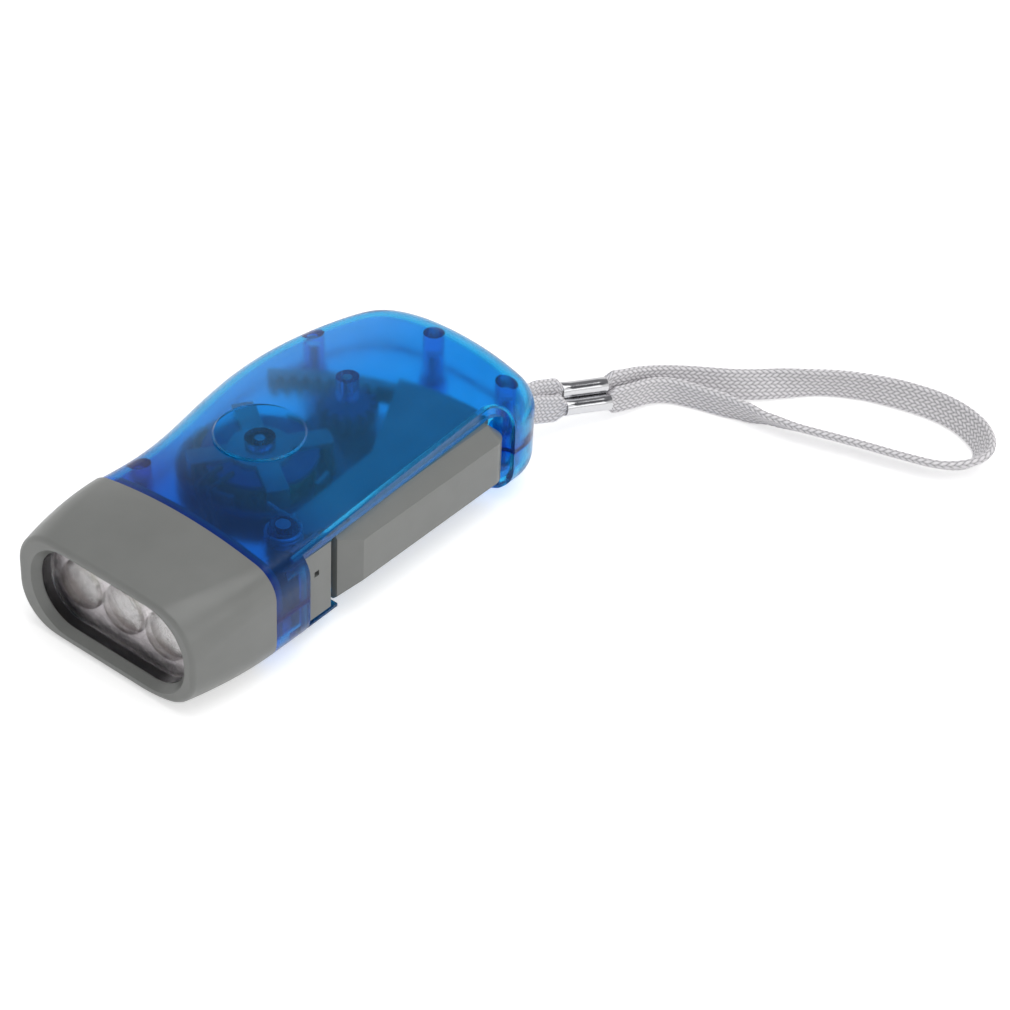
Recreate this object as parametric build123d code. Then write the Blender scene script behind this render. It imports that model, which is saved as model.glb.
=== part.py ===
from build123d import *
import math
import os

os.makedirs("parts", exist_ok=True)

# Squeeze dynamo flashlight: a translucent housing in two halves, a grey head with three lenses,
# and a long lever in one side that drives a generator through a toothed arc and gears.
# +X is the way the light goes, +Y the lever's side, +Z up. The origin is under the middle.

# Housing
body_length = 84.6
head_length = 20.4
body_width = 54.4
body_height = 26.7
crown_radius = 100.0
edge_radius = 6.5
base_flat_from_side = 16.5
base_flat_from_far = 17.0
base_round = 30.0
base_arc_angle = 50
base_relief = 6.7
tail_corner_radius = 10.0
seam_inset = 5.4
wall = 1.8
parting_z = 13.0
overrun = 10.0
upright_share = 0.9
fit = 0.02
running_fit = 0.05
loose_fit = 0.3

total_length = body_length + head_length
front_x = total_length / 2
tail_x = front_x - total_length
seam_x = tail_x + body_length
side_y = body_width / 2
far_y = side_y - body_width
seam_far_y = far_y + seam_inset
middle_y = (side_y + seam_far_y) / 2

# The far side in plan, from the waist to the tail: shares of body length and width
far_side_shares = [(0.8735, 0.121), (0.577, 0.031), (0.32, 0.0072), (0.106, 0.104), (0.0, 0.482)]
tail_lean_share = 0.036
tail_turn_share = 0.25

# Lever bay in the side wall
collar_length = 9.4
bay_length = 61.3
bay_front_depth = 2.0
bay_rear_depth = 4.6
bay_corner_radius = 4.0
slot_low_z = 4.4
slot_high_z = 21.6
slot_end_lip = 0.8
bay_front_x = seam_x - collar_length
bay_rear_x = bay_front_x - bay_length

# Raised window over the generator
window_radius = 9.3
window_height = 0.6
window_edge = 0.35

# Gear train
rack_module = 0.8
rack_teeth = 134
input_teeth = 14
train_module = 0.6
drive_teeth = 40
drive_holes = 6
small_teeth = 12
fast_module = 0.5
fast_teeth = 40
rotor_teeth = 12
input_angle = 206.8
compound_angle = 20.4
rotor_angle = -20.7
root_share = 1.2
tip_share = 0.85
tooth_width_shares = (0.10, 0.32)

# Lever pivot, and the shafts that follow from the gears
pivot_from_seam = 12.3
pivot_from_side = 9.7
pivot_x = seam_x - pivot_from_seam
pivot_y = side_y - pivot_from_side


def away(place, distance, angle):
    """The point at a distance from a place, in the direction of an angle in degrees."""
    turn = math.radians(angle)
    return (place[0] + distance * math.cos(turn), place[1] + distance * math.sin(turn))


pivot = (pivot_x, pivot_y)
rack_radius = rack_module * rack_teeth / 2
input_radius = rack_module * input_teeth / 2
drive_radius = train_module * drive_teeth / 2
small_radius = train_module * small_teeth / 2
fast_radius = fast_module * fast_teeth / 2
rotor_pinion_radius = fast_module * rotor_teeth / 2
input_place = away(pivot, rack_radius - input_radius, input_angle)
compound_place = away(input_place, drive_radius + small_radius, compound_angle)
rotor_place = away(compound_place, fast_radius + rotor_pinion_radius, rotor_angle)

# Shafts and their seats
shaft_radius = 1.0
seat_radius = 2.4
seat_height = 1.6
pivot_pin_radius = 1.5
pivot_boss_radius = 3.5
pivot_neck_radius = 2.6
generator_boss_radius = 3.1

# Heights of the train, from the floor up
floor_z = wall
seat_top = floor_z + seat_height
gear_gap = 0.5
fast_wheel_width = 1.4
drive_wheel_width = 1.4
drive_drop = 2.3
fast_low = seat_top + gear_gap
fast_high = fast_low + fast_wheel_width
small_width = 3.5
small_high = fast_high + small_width
drive_high = small_high - drive_wheel_width / 2
drive_low = drive_high - drive_wheel_width
bridge_low = small_high + gear_gap
bridge_thickness = 1.0
bridge_high = bridge_low + bridge_thickness
bridge_arm_radius = 3.4
bridge_post_radius = 1.7
bridge_post_shares = [(-24.9, 0.52), (76.1, 0.70), (248.1, 0.79)]
bridge_screw_radius = 0.8
bridge_screw_head_radius = 1.5
bridge_screw_head = 0.8

# Clutch between the input pinion and the drive wheel
hub_radius = 3.2
roller_radius = 0.65
roller_count = 5
cup_wall = 1.0
cup_height = 4.6
cup_radius = hub_radius + 2 * roller_radius + 2 * running_fit

# Generator
flywheel_radius = 16.6
flywheel_thickness = 1.2
flywheel_rim = 0.3
magnet_thickness = 1.5
magnet_height = 5.3
flywheel_low = bridge_high + bridge_screw_head + gear_gap
flywheel_high = flywheel_low + flywheel_thickness
magnet_radius = flywheel_radius - flywheel_rim
yoke_thickness = 1.0
claw_thickness = 0.8
claw_width = 4.5
claw_height = 6.2
air_gap = 0.3
claw_radius = magnet_radius - magnet_thickness - air_gap
stator_height = 8.3
stator_low = flywheel_high + gear_gap
stator_high = stator_low + stator_height
bobbin_bore = 1.6
bobbin_core_radius = 4.0
bobbin_flange = 0.9
bobbin_radius = 11.6
coil_radius = 11.0
yoke_hub_radius = 6.4
yoke_angle = 57
claw_count = 4
rotor_pinion_extra = 0.4

# Lever
lever_clearance = 0.5
lever_face_inset = 0.5
lever_wall = 1.8
lever_chamfer = 3.1
lever_front_gap = 10.5
lever_ramp = 5.3
lever_tongue_drop = 2.1
lever_tongue_thickness = 1.5
lever_inner_drop = 5.9
lever_corner_radius = 3.6
web_thickness = 1.4
web_front_angle = 160
web_front_reach = 10.0
web_edge_radius = 11.0
web_tail_angle = 198
web_drop = 1.1
lever_open_angle = 16.0
rack_rim = 2.4
rack_width = 4.0
rack_play = 0.2
tooth_margin_angle = 2.4
rack_lead_teeth = 2

# Return spring on the pivot
spring_wire = 0.7
spring_radius = 3.4
spring_pitch = 0.85
spring_turns = 2.75
spring_leg = 7.0
spring_start_angle = 270
spring_steps_per_turn = 4

# Lock slider
slider_gap = 0.7
slider_length = 11.1
slider_depth = 2.2
slider_back = 0.8
slider_back_lip = 1.0
slider_back_start = 2.6
slider_back_length = 7.5
slider_bevel = 1.3
slider_proud = 0.2
slider_notch = 1.3
slider_notch_back = 3.8
slider_notch_z = 16.2
slider_travel = 3.0

# Head
head_wall = 2.0
rim_side_inset = 2.2
rim_far_inset = 0.9
rim_foot = 0.8
rim_drop = 2.4
rim_radius = 9.5
rim_crown_radius = 240.0
rim_edge = 1.1
belly_share = 0.5
belly_bulge_share = 0.3
spigot_length = 2.6
spigot_wall = 1.2
mouth_side = 5.6
mouth_low = 3.9
mouth_top = 2.8
mouth_radius = 8.2
mouth_bevel = 1.6
bevel_share = 0.8
lip_depth = 4.0

# Light unit
lens_thickness = 1.6
lens_count = 3
lens_pitch = 11.1
lens_radius = 5.0
lens_height = 2.0
reflector_length = 9.6
reflector_margin = 0.7
dish_rim_radius = 5.3
dish_neck_radius = 2.8
dish_bulge_share = 0.82
dish_bulge_height_share = 0.4
led_radius = 2.5
led_length = 7.6
led_flange_radius = 2.9
board_thickness = 1.6
board_gap = 0.3

# Board parts
diode_radius = 1.1
diode_length = 4.0
diode_pitch = 3.4
diode_count = 4
capacitor_radius = 3.2
capacitor_length = 7.0
capacitor_edge = 0.55
wire_radius = 0.5
lead_spread = 1.5
lead_bend = 1.5
lead_start_share = 0.8

# Screws that join the housing halves, from below
screw_radius = 1.1
screw_head_radius = 2.0
screw_head = 1.4
screw_recess = 3.2
screw_grip = 7.0
screw_play = 0.3
screw_boss_radius = 3.0
upper_boss_radius = 2.2
tail_boss_from_tail = 7.9
tail_boss_from_side = 7.8
far_boss_from_tail = 20.4
far_boss_from_far = 5.9
rear_boss_from_tail = 6.3
rear_boss_from_side = 28.2
front_boss_from_seam = 8.1
front_boss_from_far = 11.2

# Strap eye in the tail
eye_width = 7.4
eye_height = 8.2
eye_middle_z = 12.4
eye_from_side = 10.2
eye_depth = 4.2
eye_corner_radius = 2.4

# Wrist strap: its route, as tube centre points
strap_radius = 1.2
strap_route = [
    (-46.4, 18.9, 14.3), (-55.5, 16.2, 12.9), (-63.5, 16.6, 9.8), (-77.5, 23.2, 7.7),
    (-86.5, 24.8, 5.0), (-94.5, 31.0, 3.4), (-101.5, 39.5, 3.2), (-109.5, 47.3, 3.3),
    (-116.0, 56.3, 3.2), (-120.6, 67.0, 3.3), (-122.0, 77.5, 3.1), (-118.8, 85.0, 2.9),
    (-113.2, 88.2, 2.7), (-107.0, 86.2, 2.6), (-102.9, 79.6, 2.5), (-99.9, 69.5, 2.7),
    (-96.5, 58.7, 2.8), (-94.2, 48.0, 3.0), (-90.8, 38.4, 3.2), (-86.6, 30.2, 3.4),
    (-77.2, 25.4, 4.7), (-62.2, 18.3, 6.9), (-54.6, 17.6, 10.6), (-47.2, 18.9, 11.4),
]
clip_length = 11.0
clip_wall = 0.6
clip_squeeze = 0.05
strap_bend_share = 0.45


def rod(place, low, high, radius):
    """An upright cylinder from one height to another."""
    upwards = (Align.CENTER, Align.CENTER, Align.MIN)
    return Pos(place[0], place[1], low) * Cylinder(radius, high - low, align=upwards)


def tube(place, low, high, radius, bore):
    """An upright ring from one height to another."""
    return Pos(place[0], place[1], low) * extrude(Circle(radius) - Circle(bore), high - low)


def block(low, high):
    """A box between two opposite corners."""
    size = [b - a for a, b in zip(low, high)]
    return Pos(*low) * Box(*size, align=(Align.MIN, Align.MIN, Align.MIN))


def plate(points, low, high):
    """A flat plate of any outline from one height to another."""
    return Pos(0, 0, low) * extrude(make_face(Polyline(*points, close=True)), high - low)


# Heights of the lever and the faces of lever and slider
lever_low = slot_low_z + lever_clearance
lever_high = slot_high_z - lever_clearance
web_high = lever_high - web_drop
web_low = web_high - web_thickness
rack_high = web_low
rack_low = rack_high - rack_width
input_boss_low = web_high
shaft_top = body_height - wall - window_height
lever_face_y = side_y - lever_face_inset
slider_face_y = lever_face_y - lever_tongue_drop + slider_proud
slider_inner_y = slider_face_y - slider_depth


# Housing shape
def plan_outline(inset):
    """The housing seen from above, running on past the seam, drawn in by an inset."""
    end_x = seam_x + overrun
    corner_x = tail_x + tail_lean_share * body_length
    points = [(end_x, seam_far_y)]
    points += [(tail_x + a * body_length, far_y + b * body_width) for a, b in far_side_shares]
    outer = Spline(*points, tangents=[(-1, 0), (0, 1)])
    drawn_in = []
    for point in points:
        heading = outer.tangent_at(outer.param_at_point(point))
        drawn_in.append((point[0] + heading.Y * inset, point[1] - heading.X * inset))
    corner = (corner_x + inset, side_y - inset)
    end = (end_x, side_y - inset)
    far = Spline(*drawn_in, tangents=[(-1, 0), (0, 1)])
    back = Spline(drawn_in[-1], corner, tangents=[(0, 1), (tail_turn_share, 1)])
    face = make_face([far, back, Line(corner, end), Line(end, drawn_in[0])])
    near_corner = face.vertices().sort_by_distance((corner[0], corner[1], 0))[:1]
    return fillet(near_corner, tail_corner_radius - inset)


flat_far_y = far_y + base_flat_from_far
flat_near_y = side_y - base_flat_from_side


def base_face(low, curve_radius):
    """The profile, seen along the beam, whose bottom is flat and rises in an arc towards each side."""
    far_centre = (flat_far_y, low + curve_radius)
    near_centre = (flat_near_y, low + curve_radius)
    far_end = away(far_centre, curve_radius, 270 - base_arc_angle)
    near_end = away(near_centre, curve_radius, 270 + base_arc_angle)
    top = body_height + overrun
    return make_face([
        Line((flat_far_y, low), (flat_near_y, low)),
        ThreePointArc((flat_near_y, low), away(near_centre, curve_radius, 270 + base_arc_angle / 2), near_end),
        Line(near_end, (near_end[0], top)),
        Line((near_end[0], top), (far_end[0], top)),
        Line((far_end[0], top), far_end),
        ThreePointArc(far_end, away(far_centre, curve_radius, 270 - base_arc_angle / 2), (flat_far_y, low)),
    ])


def cross_plane(x):
    """The plane square to the beam at a station, with its own x along +Y and y along +Z."""
    return Plane(origin=(x, 0, 0), x_dir=(0, 1, 0), z_dir=(1, 0, 0))


def pillow(inset):
    """The closed outer form of the housing, with a crowned top, a rounded underside and round edges."""
    body = extrude(Pos(0, 0, inset) * plan_outline(inset), body_height - 2 * inset)
    crown = Pos(0, middle_y, body_height - crown_radius) * Rot(0, 90, 0) * Cylinder(
        crown_radius - inset, 2 * total_length + 2 * overrun)
    base_outline = cross_plane(tail_x - overrun) * base_face(inset, base_round - inset)
    base = extrude(base_outline, total_length + 2 * overrun)
    body = body & crown & base
    end_x = max(vertex.X for vertex in body.vertices())
    edges = [edge for edge in body.edges()
             if abs(edge.tangent_at(0.5).Z) < upright_share and edge.center().X < end_x - fit
             and min(abs(edge.center().Y - flat_far_y), abs(edge.center().Y - flat_near_y)) > fit]
    return fillet(edges, edge_radius - inset)


def bay(grow):
    """The plan of the hollow in the side that takes the lever, grown by a wall."""
    front = bay_front_x + grow
    rear = bay_rear_x - grow
    points = [(front, side_y + overrun), (front, side_y - bay_front_depth - grow),
              (rear, side_y - bay_rear_depth - grow), (rear, side_y + overrun)]
    face = make_face(Polyline(*points, close=True))
    corner = face.vertices().sort_by_distance((points[2][0], points[2][1], 0))[:1]
    return extrude(fillet(corner, bay_corner_radius + grow), body_height)


def slot():
    """The long opening for the lever, and the way under the collar for the slider."""
    deep = side_y - bay_rear_depth - 2 * wall
    rear_corner = (bay_rear_x + slot_end_lip, deep, slot_low_z)
    lever_part = block(rear_corner, (bay_front_x, side_y + overrun, slot_high_z))
    slider_part = block((bay_front_x - overrun, deep, slot_low_z),
                        (bay_front_x + wall + slider_travel, side_y - bay_front_depth, slot_high_z))
    groove = block((bay_front_x - overrun, deep, slot_low_z - slider_back_lip),
                   (bay_front_x + wall + slider_travel, slider_inner_y + loose_fit, slot_high_z))
    relief = block((bay_rear_x + slot_end_lip, side_y - base_relief, -overrun),
                   (bay_front_x - lever_front_gap, side_y + overrun, slot_low_z))
    return lever_part + slider_part + groove + relief


def shell_places():
    """Where the screws go."""
    return [
        (tail_x + tail_boss_from_tail, side_y - tail_boss_from_side),
        (tail_x + far_boss_from_tail, far_y + far_boss_from_far),
        (tail_x + rear_boss_from_tail, side_y - rear_boss_from_side),
        (seam_x - front_boss_from_seam, far_y + front_boss_from_far),
    ]


def bridge_posts():
    return [
        away(rotor_place, share * flywheel_radius, rotor_angle + angle)
        for angle, share in bridge_post_shares
    ]


outer_form = pillow(0)
inner_form = pillow(wall)
skin_form = pillow(wall / 2)
rear_corner = (tail_x - overrun, far_y - overrun)
front_corner = (seam_x, side_y + overrun)
upper_half = block((*rear_corner, parting_z), (*front_corner, body_height + overrun))
lower_half = block((*rear_corner, -overrun), (*front_corner, parting_z))
closed_shell = ((outer_form - bay(0)) - (inner_form - bay(wall))) - slot()
eye_y = side_y - eye_from_side
strap_eye = Pos(tail_x, eye_y, eye_middle_z) * Rot(0, 90, 0) * extrude(
    RectangleRounded(eye_height, eye_width, eye_corner_radius), eye_depth + overrun, both=True)
strap_eye = strap_eye & block((tail_x - overrun, far_y, 0), (tail_x + eye_depth, side_y, body_height))
crown_z_at_rotor = body_height - crown_radius + math.sqrt(crown_radius**2 - (rotor_place[1] - middle_y)**2)


def make_upper_shell():
    """The top half: window, screw bosses, and bosses for the generator, input shaft and pivot."""
    shell = closed_shell & upper_half
    window = rod(rotor_place, body_height - wall, crown_z_at_rotor + window_height, window_radius)
    window = chamfer(window.faces().sort_by(Axis.Z)[-1].edges(), window_edge)
    bosses = [rod(place, parting_z, body_height, upper_boss_radius) for place in shell_places()]
    bosses.append(rod(rotor_place, stator_high + yoke_thickness, body_height, generator_boss_radius))
    bosses.append(rod(input_place, input_boss_low, body_height, seat_radius))
    bosses.append(rod(pivot, web_high + running_fit, body_height, pivot_neck_radius))
    shell = shell + (Part() + bosses & skin_form)
    shell = shell + (window - inner_form)
    for place in shell_places():
        shell = shell - rod(place, -overrun, parting_z + screw_grip, screw_radius + fit)
    shell = shell - rod(rotor_place, stator_low, shaft_top + fit, shaft_radius + running_fit)
    shell = shell - rod(input_place, stator_low, shaft_top + fit, shaft_radius + fit)
    shell = shell - rod(pivot, stator_low, shaft_top + fit, pivot_pin_radius + fit)
    return shell - strap_eye


def make_lower_shell():
    """The bottom half: flat underside, screw bosses, shaft seats and the posts of the gear bridge."""
    shell = closed_shell & lower_half
    bosses = [rod(place, 0, parting_z, screw_boss_radius) for place in shell_places()]
    bosses += [rod(place, 0, seat_top, seat_radius) for place in (input_place, compound_place, rotor_place)]
    bosses += [rod(place, 0, bridge_low, bridge_post_radius) for place in bridge_posts()]
    bosses.append(rod(pivot, 0, lever_low - running_fit, pivot_boss_radius))
    shell = shell + (Part() + bosses & skin_form)
    for place in shell_places():
        shell = shell - rod(place, -overrun, parting_z + overrun, screw_radius + screw_play)
        shell = shell - rod(place, -overrun, screw_recess + screw_head, screw_head_radius + screw_play)
    for place in (input_place, compound_place):
        shell = shell - rod(place, floor_z / 2, parting_z, shaft_radius + fit)
    shell = shell - rod(rotor_place, floor_z / 2, parting_z, shaft_radius + running_fit)
    shell = shell - rod(pivot, floor_z / 2, parting_z, pivot_pin_radius + fit)
    for place in bridge_posts():
        shell = shell - rod(place, floor_z, bridge_low, bridge_screw_radius + fit)
    return shell - strap_eye


def make_screws():
    """Pan-head screws that come up from the underside."""
    screws = []
    for place in shell_places():
        head = rod(place, screw_recess, screw_recess + screw_head, screw_head_radius)
        shank = rod(place, screw_recess, parting_z + screw_grip - screw_play, screw_radius)
        slot_cut = block((place[0] - screw_head_radius, place[1] - screw_play, screw_recess),
                         (place[0] + screw_head_radius, place[1] + screw_play, screw_recess + screw_head / 2))
        screws.append(head + shank - slot_cut)
    return screws


# Gears
def tooth_ring(module, teeth, first_angle, root_depth, tip_height, widths):
    """The closed outline of a toothed ring, as points; widths are tooth half-widths in pitches."""
    radius = module * teeth / 2
    pitch = 2 * math.pi / teeth
    points = []
    for index in range(teeth):
        middle = math.radians(first_angle) + index * pitch
        for reach, half in ((radius - root_depth, -widths[1]), (radius + tip_height, -widths[0]),
                            (radius + tip_height, widths[0]), (radius - root_depth, widths[1])):
            turn = middle + half * pitch
            points.append((reach * math.cos(turn), reach * math.sin(turn)))
    return points


def spur(place, module, teeth, first_angle, low, high):
    """A spur gear without a bore."""
    points = tooth_ring(module, teeth, first_angle, root_share * module, tip_share * module, tooth_width_shares)
    return Pos(place[0], place[1], 0) * plate(points, low, high)


def gap_angle(angle, teeth):
    """The first tooth's angle that leaves a gap towards an angle."""
    return angle + 180 / teeth


def make_input_pinion():
    """Pinion that the toothed arc turns, with the clutch hub below it."""
    body = spur(input_place, rack_module, input_teeth, input_angle, rack_low + rack_play, rack_high - rack_play)
    body += rod(input_place, drive_high + rack_play, rack_low + rack_play, hub_radius)
    return body - rod(input_place, drive_low, rack_high, shaft_radius + running_fit)


def make_clutch_rollers():
    """Rollers between the hub and the cup, which grip in one direction only."""
    low = drive_high + rack_play
    high = drive_high + cup_height - rack_play
    orbit = hub_radius + running_fit + roller_radius
    angles = [360 * i / roller_count for i in range(roller_count)]
    return [rod(away(input_place, orbit, angle), low, high, roller_radius) for angle in angles]


def make_drive_wheel():
    """Wheel on the input shaft, with the clutch cup on top and lightening holes in its web."""
    wheel = spur(input_place, train_module, drive_teeth, compound_angle, drive_low, drive_high)
    wheel += rod(input_place, drive_low, drive_high + cup_height, cup_radius + cup_wall)
    wheel -= rod(input_place, drive_high, drive_high + cup_height, cup_radius)
    wheel -= rod(input_place, drive_low, drive_high, shaft_radius + running_fit)
    hole_radius = (drive_radius - cup_radius - cup_wall) / 4
    hole_orbit = (drive_radius + cup_radius + cup_wall) / 2
    for i in range(drive_holes):
        wheel -= rod(away(input_place, hole_orbit, 360 * i / drive_holes), drive_low, drive_high, hole_radius)
    return wheel


def make_compound_gear():
    """Second gear: the drive wheel turns its pinion, and its wheel turns the rotor."""
    first_angle = gap_angle(compound_angle + 180, small_teeth)
    small = spur(compound_place, train_module, small_teeth, first_angle, fast_high, small_high)
    wheel = spur(compound_place, fast_module, fast_teeth, rotor_angle, fast_low, fast_high)
    return small + wheel - rod(compound_place, fast_low, small_high, shaft_radius + running_fit)


def make_rotor_pinion():
    pinion = spur(rotor_place, fast_module, rotor_teeth, gap_angle(rotor_angle + 180, rotor_teeth),
                  fast_low - rotor_pinion_extra / 2, fast_high + rotor_pinion_extra)
    return pinion - rod(rotor_place, 0, body_height, shaft_radius + fit)


def make_gear_bridge():
    """Plate over the gears, on three posts, with the upper bearing of two shafts."""
    front_post, side_post, rear_post = bridge_posts()
    outline = plate([compound_place, rear_post, front_post, side_post], bridge_low, bridge_high)
    for place in (compound_place, rotor_place, front_post, side_post, rear_post):
        outline += rod(place, bridge_low, bridge_high, bridge_arm_radius)
    outline -= rod(compound_place, bridge_low, bridge_high, shaft_radius + fit)
    outline -= rod(rotor_place, bridge_low, bridge_high, shaft_radius + running_fit)
    for place in bridge_posts():
        outline -= rod(place, bridge_low, bridge_high, bridge_screw_radius + fit)
    return outline


def make_bridge_screws():
    screws = []
    for place in bridge_posts():
        head = rod(place, bridge_high, bridge_high + bridge_screw_head, bridge_screw_head_radius)
        screws.append(head + rod(place, floor_z + seat_height, bridge_high, bridge_screw_radius))
    return screws


# Generator
def make_flywheel():
    """Plastic cup on the shaft that carries the ring magnet."""
    disc = rod(rotor_place, flywheel_low, flywheel_high, flywheel_radius)
    rim = tube(rotor_place, flywheel_low, flywheel_high + magnet_height, flywheel_radius, magnet_radius)
    return disc + rim - rod(rotor_place, flywheel_low, flywheel_high, shaft_radius + fit)


def make_ring_magnet():
    bore = magnet_radius - magnet_thickness
    return tube(rotor_place, flywheel_high, flywheel_high + magnet_height, magnet_radius - fit, bore)


def make_yoke(low, direction, first_angle):
    """A cross of soft iron whose four arms turn over the coil as claws."""
    high = low + yoke_thickness
    yoke = rod(rotor_place, low, high, yoke_hub_radius)
    half = claw_width / 2
    ring = tube(rotor_place, 0, body_height, claw_radius, claw_radius - claw_thickness)
    solid = rod(rotor_place, 0, body_height, claw_radius)
    for i in range(claw_count):
        turn = Pos(rotor_place[0], rotor_place[1], 0) * Rot(0, 0, first_angle + 360 * i / claw_count)
        arm = turn * block((0, -half, low), (claw_radius, half, high))
        if direction < 0:
            claw = turn * block((0, -half, high - claw_height - yoke_thickness), (claw_radius, half, high))
        else:
            claw = turn * block((0, -half, low), (claw_radius, half, low + claw_height + yoke_thickness))
        yoke += (arm & solid) + (claw & ring)
    return yoke - rod(rotor_place, low, high, bobbin_bore)


def make_bobbin():
    """Plastic spool between the two crosses."""
    low = stator_low + yoke_thickness
    spool = rod(rotor_place, low, stator_high, bobbin_core_radius)
    low_flange = rod(rotor_place, low, low + bobbin_flange, bobbin_radius)
    high_flange = rod(rotor_place, stator_high - bobbin_flange, stator_high, bobbin_radius)
    return spool + low_flange + high_flange - rod(rotor_place, stator_low, stator_high, bobbin_bore)


def make_coil():
    low = stator_low + yoke_thickness + bobbin_flange
    return tube(rotor_place, low, stator_high - bobbin_flange, coil_radius, bobbin_core_radius + fit)


# Lever, toothed arc and spring
lever_inner_y = lever_face_y - lever_inner_drop
lever_front_x = bay_front_x - lever_front_gap
lever_rear_x = bay_rear_x + slot_end_lip + lever_clearance
rack_outer_radius = rack_radius + root_share * rack_module + rack_rim


def make_lever():
    """The grip, its two webs and the pivot barrel, in one moulding."""
    tongue_y = lever_face_y - lever_tongue_drop
    ramp_x = lever_front_x - lever_ramp
    points = [
        (lever_front_x, tongue_y), (ramp_x, lever_face_y), (lever_rear_x, lever_face_y),
        (lever_rear_x, lever_inner_y), (ramp_x, lever_inner_y), (ramp_x, tongue_y - lever_tongue_thickness),
        (lever_front_x, tongue_y - lever_tongue_thickness),
    ]
    face = make_face(Polyline(*points, close=True))
    corner = face.vertices().sort_by_distance((points[2][0], points[2][1], 0))[:1]
    grip = Pos(0, 0, lever_low) * extrude(fillet(corner, lever_corner_radius), lever_high - lever_low)
    edges = [edge for edge in grip.edges() if abs(edge.tangent_at(0.5).Z) < upright_share
             and edge.center().Y > lever_face_y - lever_corner_radius and edge.center().X < ramp_x
             and abs(edge.center().Z - (lever_low + lever_high) / 2) > lever_chamfer]
    grip = chamfer(edges, lever_chamfer)
    pocket = block((lever_rear_x + lever_corner_radius, lever_inner_y - overrun, lever_low + web_thickness),
                   (ramp_x - lever_wall, lever_face_y - lever_wall, web_low))
    grip = grip - pocket
    web_face = make_web_face(rack_outer_radius)
    upper_web = Pos(0, 0, web_low) * extrude(web_face, web_thickness)
    to_gear = math.dist(pivot, compound_place) - fast_radius - fast_module
    low_face = web_face & (Pos(pivot_x, pivot_y) * Circle(to_gear - gear_gap))
    lower_web = Pos(0, 0, lever_low) * extrude(low_face, web_thickness)
    barrel = rod(pivot, lever_low, web_high, pivot_boss_radius)
    lever = grip + upper_web + lower_web + barrel
    return lever - rod(pivot, 0, body_height, pivot_pin_radius + running_fit)


def make_web_face(reach):
    """The plan of the web: from the barrel to the grip, with an arc about the pivot behind."""
    front_point = away(pivot, web_front_reach, web_front_angle)
    barrel_point = away(pivot, pivot_boss_radius / 2, web_front_angle)
    tail_point = away(pivot, reach, web_tail_angle)
    inner_point = away(compound_place, web_edge_radius, compound_angle + 90)
    waist_point = away(pivot, pivot_boss_radius, 270)
    grip_y = lever_inner_y + lever_clearance
    tail_top = (pivot_x - math.sqrt(reach**2 - (grip_y - pivot_y)**2), grip_y)
    middle_point = away(pivot, reach, (180 + web_tail_angle) / 2)
    lines = [
        Line(tail_top, (front_point[0], grip_y)), Line((front_point[0], grip_y), front_point),
        Line(front_point, barrel_point), Line(barrel_point, waist_point),
        Line(waist_point, inner_point), Line(inner_point, tail_point),
        ThreePointArc(tail_point, middle_point, tail_top),
    ]
    return make_face(lines)


def make_sector_rack():
    """Toothed arc with its teeth inwards; it is carried under the lever's upper web."""
    pitch = 360 / rack_teeth
    first = input_angle + pitch / 2
    high_count = math.floor((lever_open_angle + tooth_margin_angle) / pitch)
    root = rack_radius + root_share * rack_module
    tip = rack_radius - tip_share * rack_module
    start_angle = 180 - math.degrees(math.asin((lever_inner_y - pivot_y) / rack_outer_radius)) + pitch / 2
    end_angle = first + (high_count + 0.5) * pitch
    outer_start = away(pivot, rack_outer_radius, start_angle)
    outer_end = away(pivot, rack_outer_radius, end_angle)
    inner_start = away(pivot, root, start_angle)
    inner_end = away(pivot, root, end_angle)
    middle = (start_angle + end_angle) / 2
    rim = make_face([
        ThreePointArc(outer_start, away(pivot, rack_outer_radius, middle), outer_end),
        Line(outer_end, inner_end),
        ThreePointArc(inner_end, away(pivot, root, middle), inner_start), Line(inner_start, outer_start),
    ])
    rack = Pos(0, 0, rack_low) * extrude(rim, rack_width)
    for index in range(-rack_lead_teeth, high_count + 1):
        angle = first + index * pitch
        points = [away(pivot, root + fit, angle - tooth_width_shares[1] * pitch),
                  away(pivot, tip, angle - tooth_width_shares[0] * pitch),
                  away(pivot, tip, angle + tooth_width_shares[0] * pitch),
                  away(pivot, root + fit, angle + tooth_width_shares[1] * pitch)]
        rack += plate(points, rack_low, rack_high)
    return rack


def helix_edges(radius, pitch, turns, low, first_angle):
    """A rising coil as pairs of arcs that meet smoothly, eight arcs to a turn."""
    climb = pitch / (2 * math.pi)

    def point(turn):
        return Vector(pivot_x + radius * math.cos(turn), pivot_y + radius * math.sin(turn),
                      low + climb * (turn - math.radians(first_angle)))

    def heading(turn):
        return Vector(-radius * math.sin(turn), radius * math.cos(turn), climb).normalized()

    edges = []
    steps = math.ceil(turns * spring_steps_per_turn)
    turn_step = 2 * math.pi * turns / steps
    for index in range(steps):
        first = math.radians(first_angle) + index * turn_step
        start, end = point(first), point(first + turn_step)
        leave, arrive = heading(first), heading(first + turn_step)
        span = end - start
        both = leave + arrive
        bend = 2 * (1 - leave.dot(arrive))
        reach = (-span.dot(both) + math.sqrt(span.dot(both)**2 + bend * span.dot(span))) / bend
        first_corner = start + leave * reach
        second_corner = end - arrive * reach
        joint = (first_corner + second_corner) * 0.5
        edges.append(Edge.make_tangent_arc(start, leave, joint))
        edges.append(Edge.make_tangent_arc(joint, (second_corner - first_corner).normalized(), end))
    return edges


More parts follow.
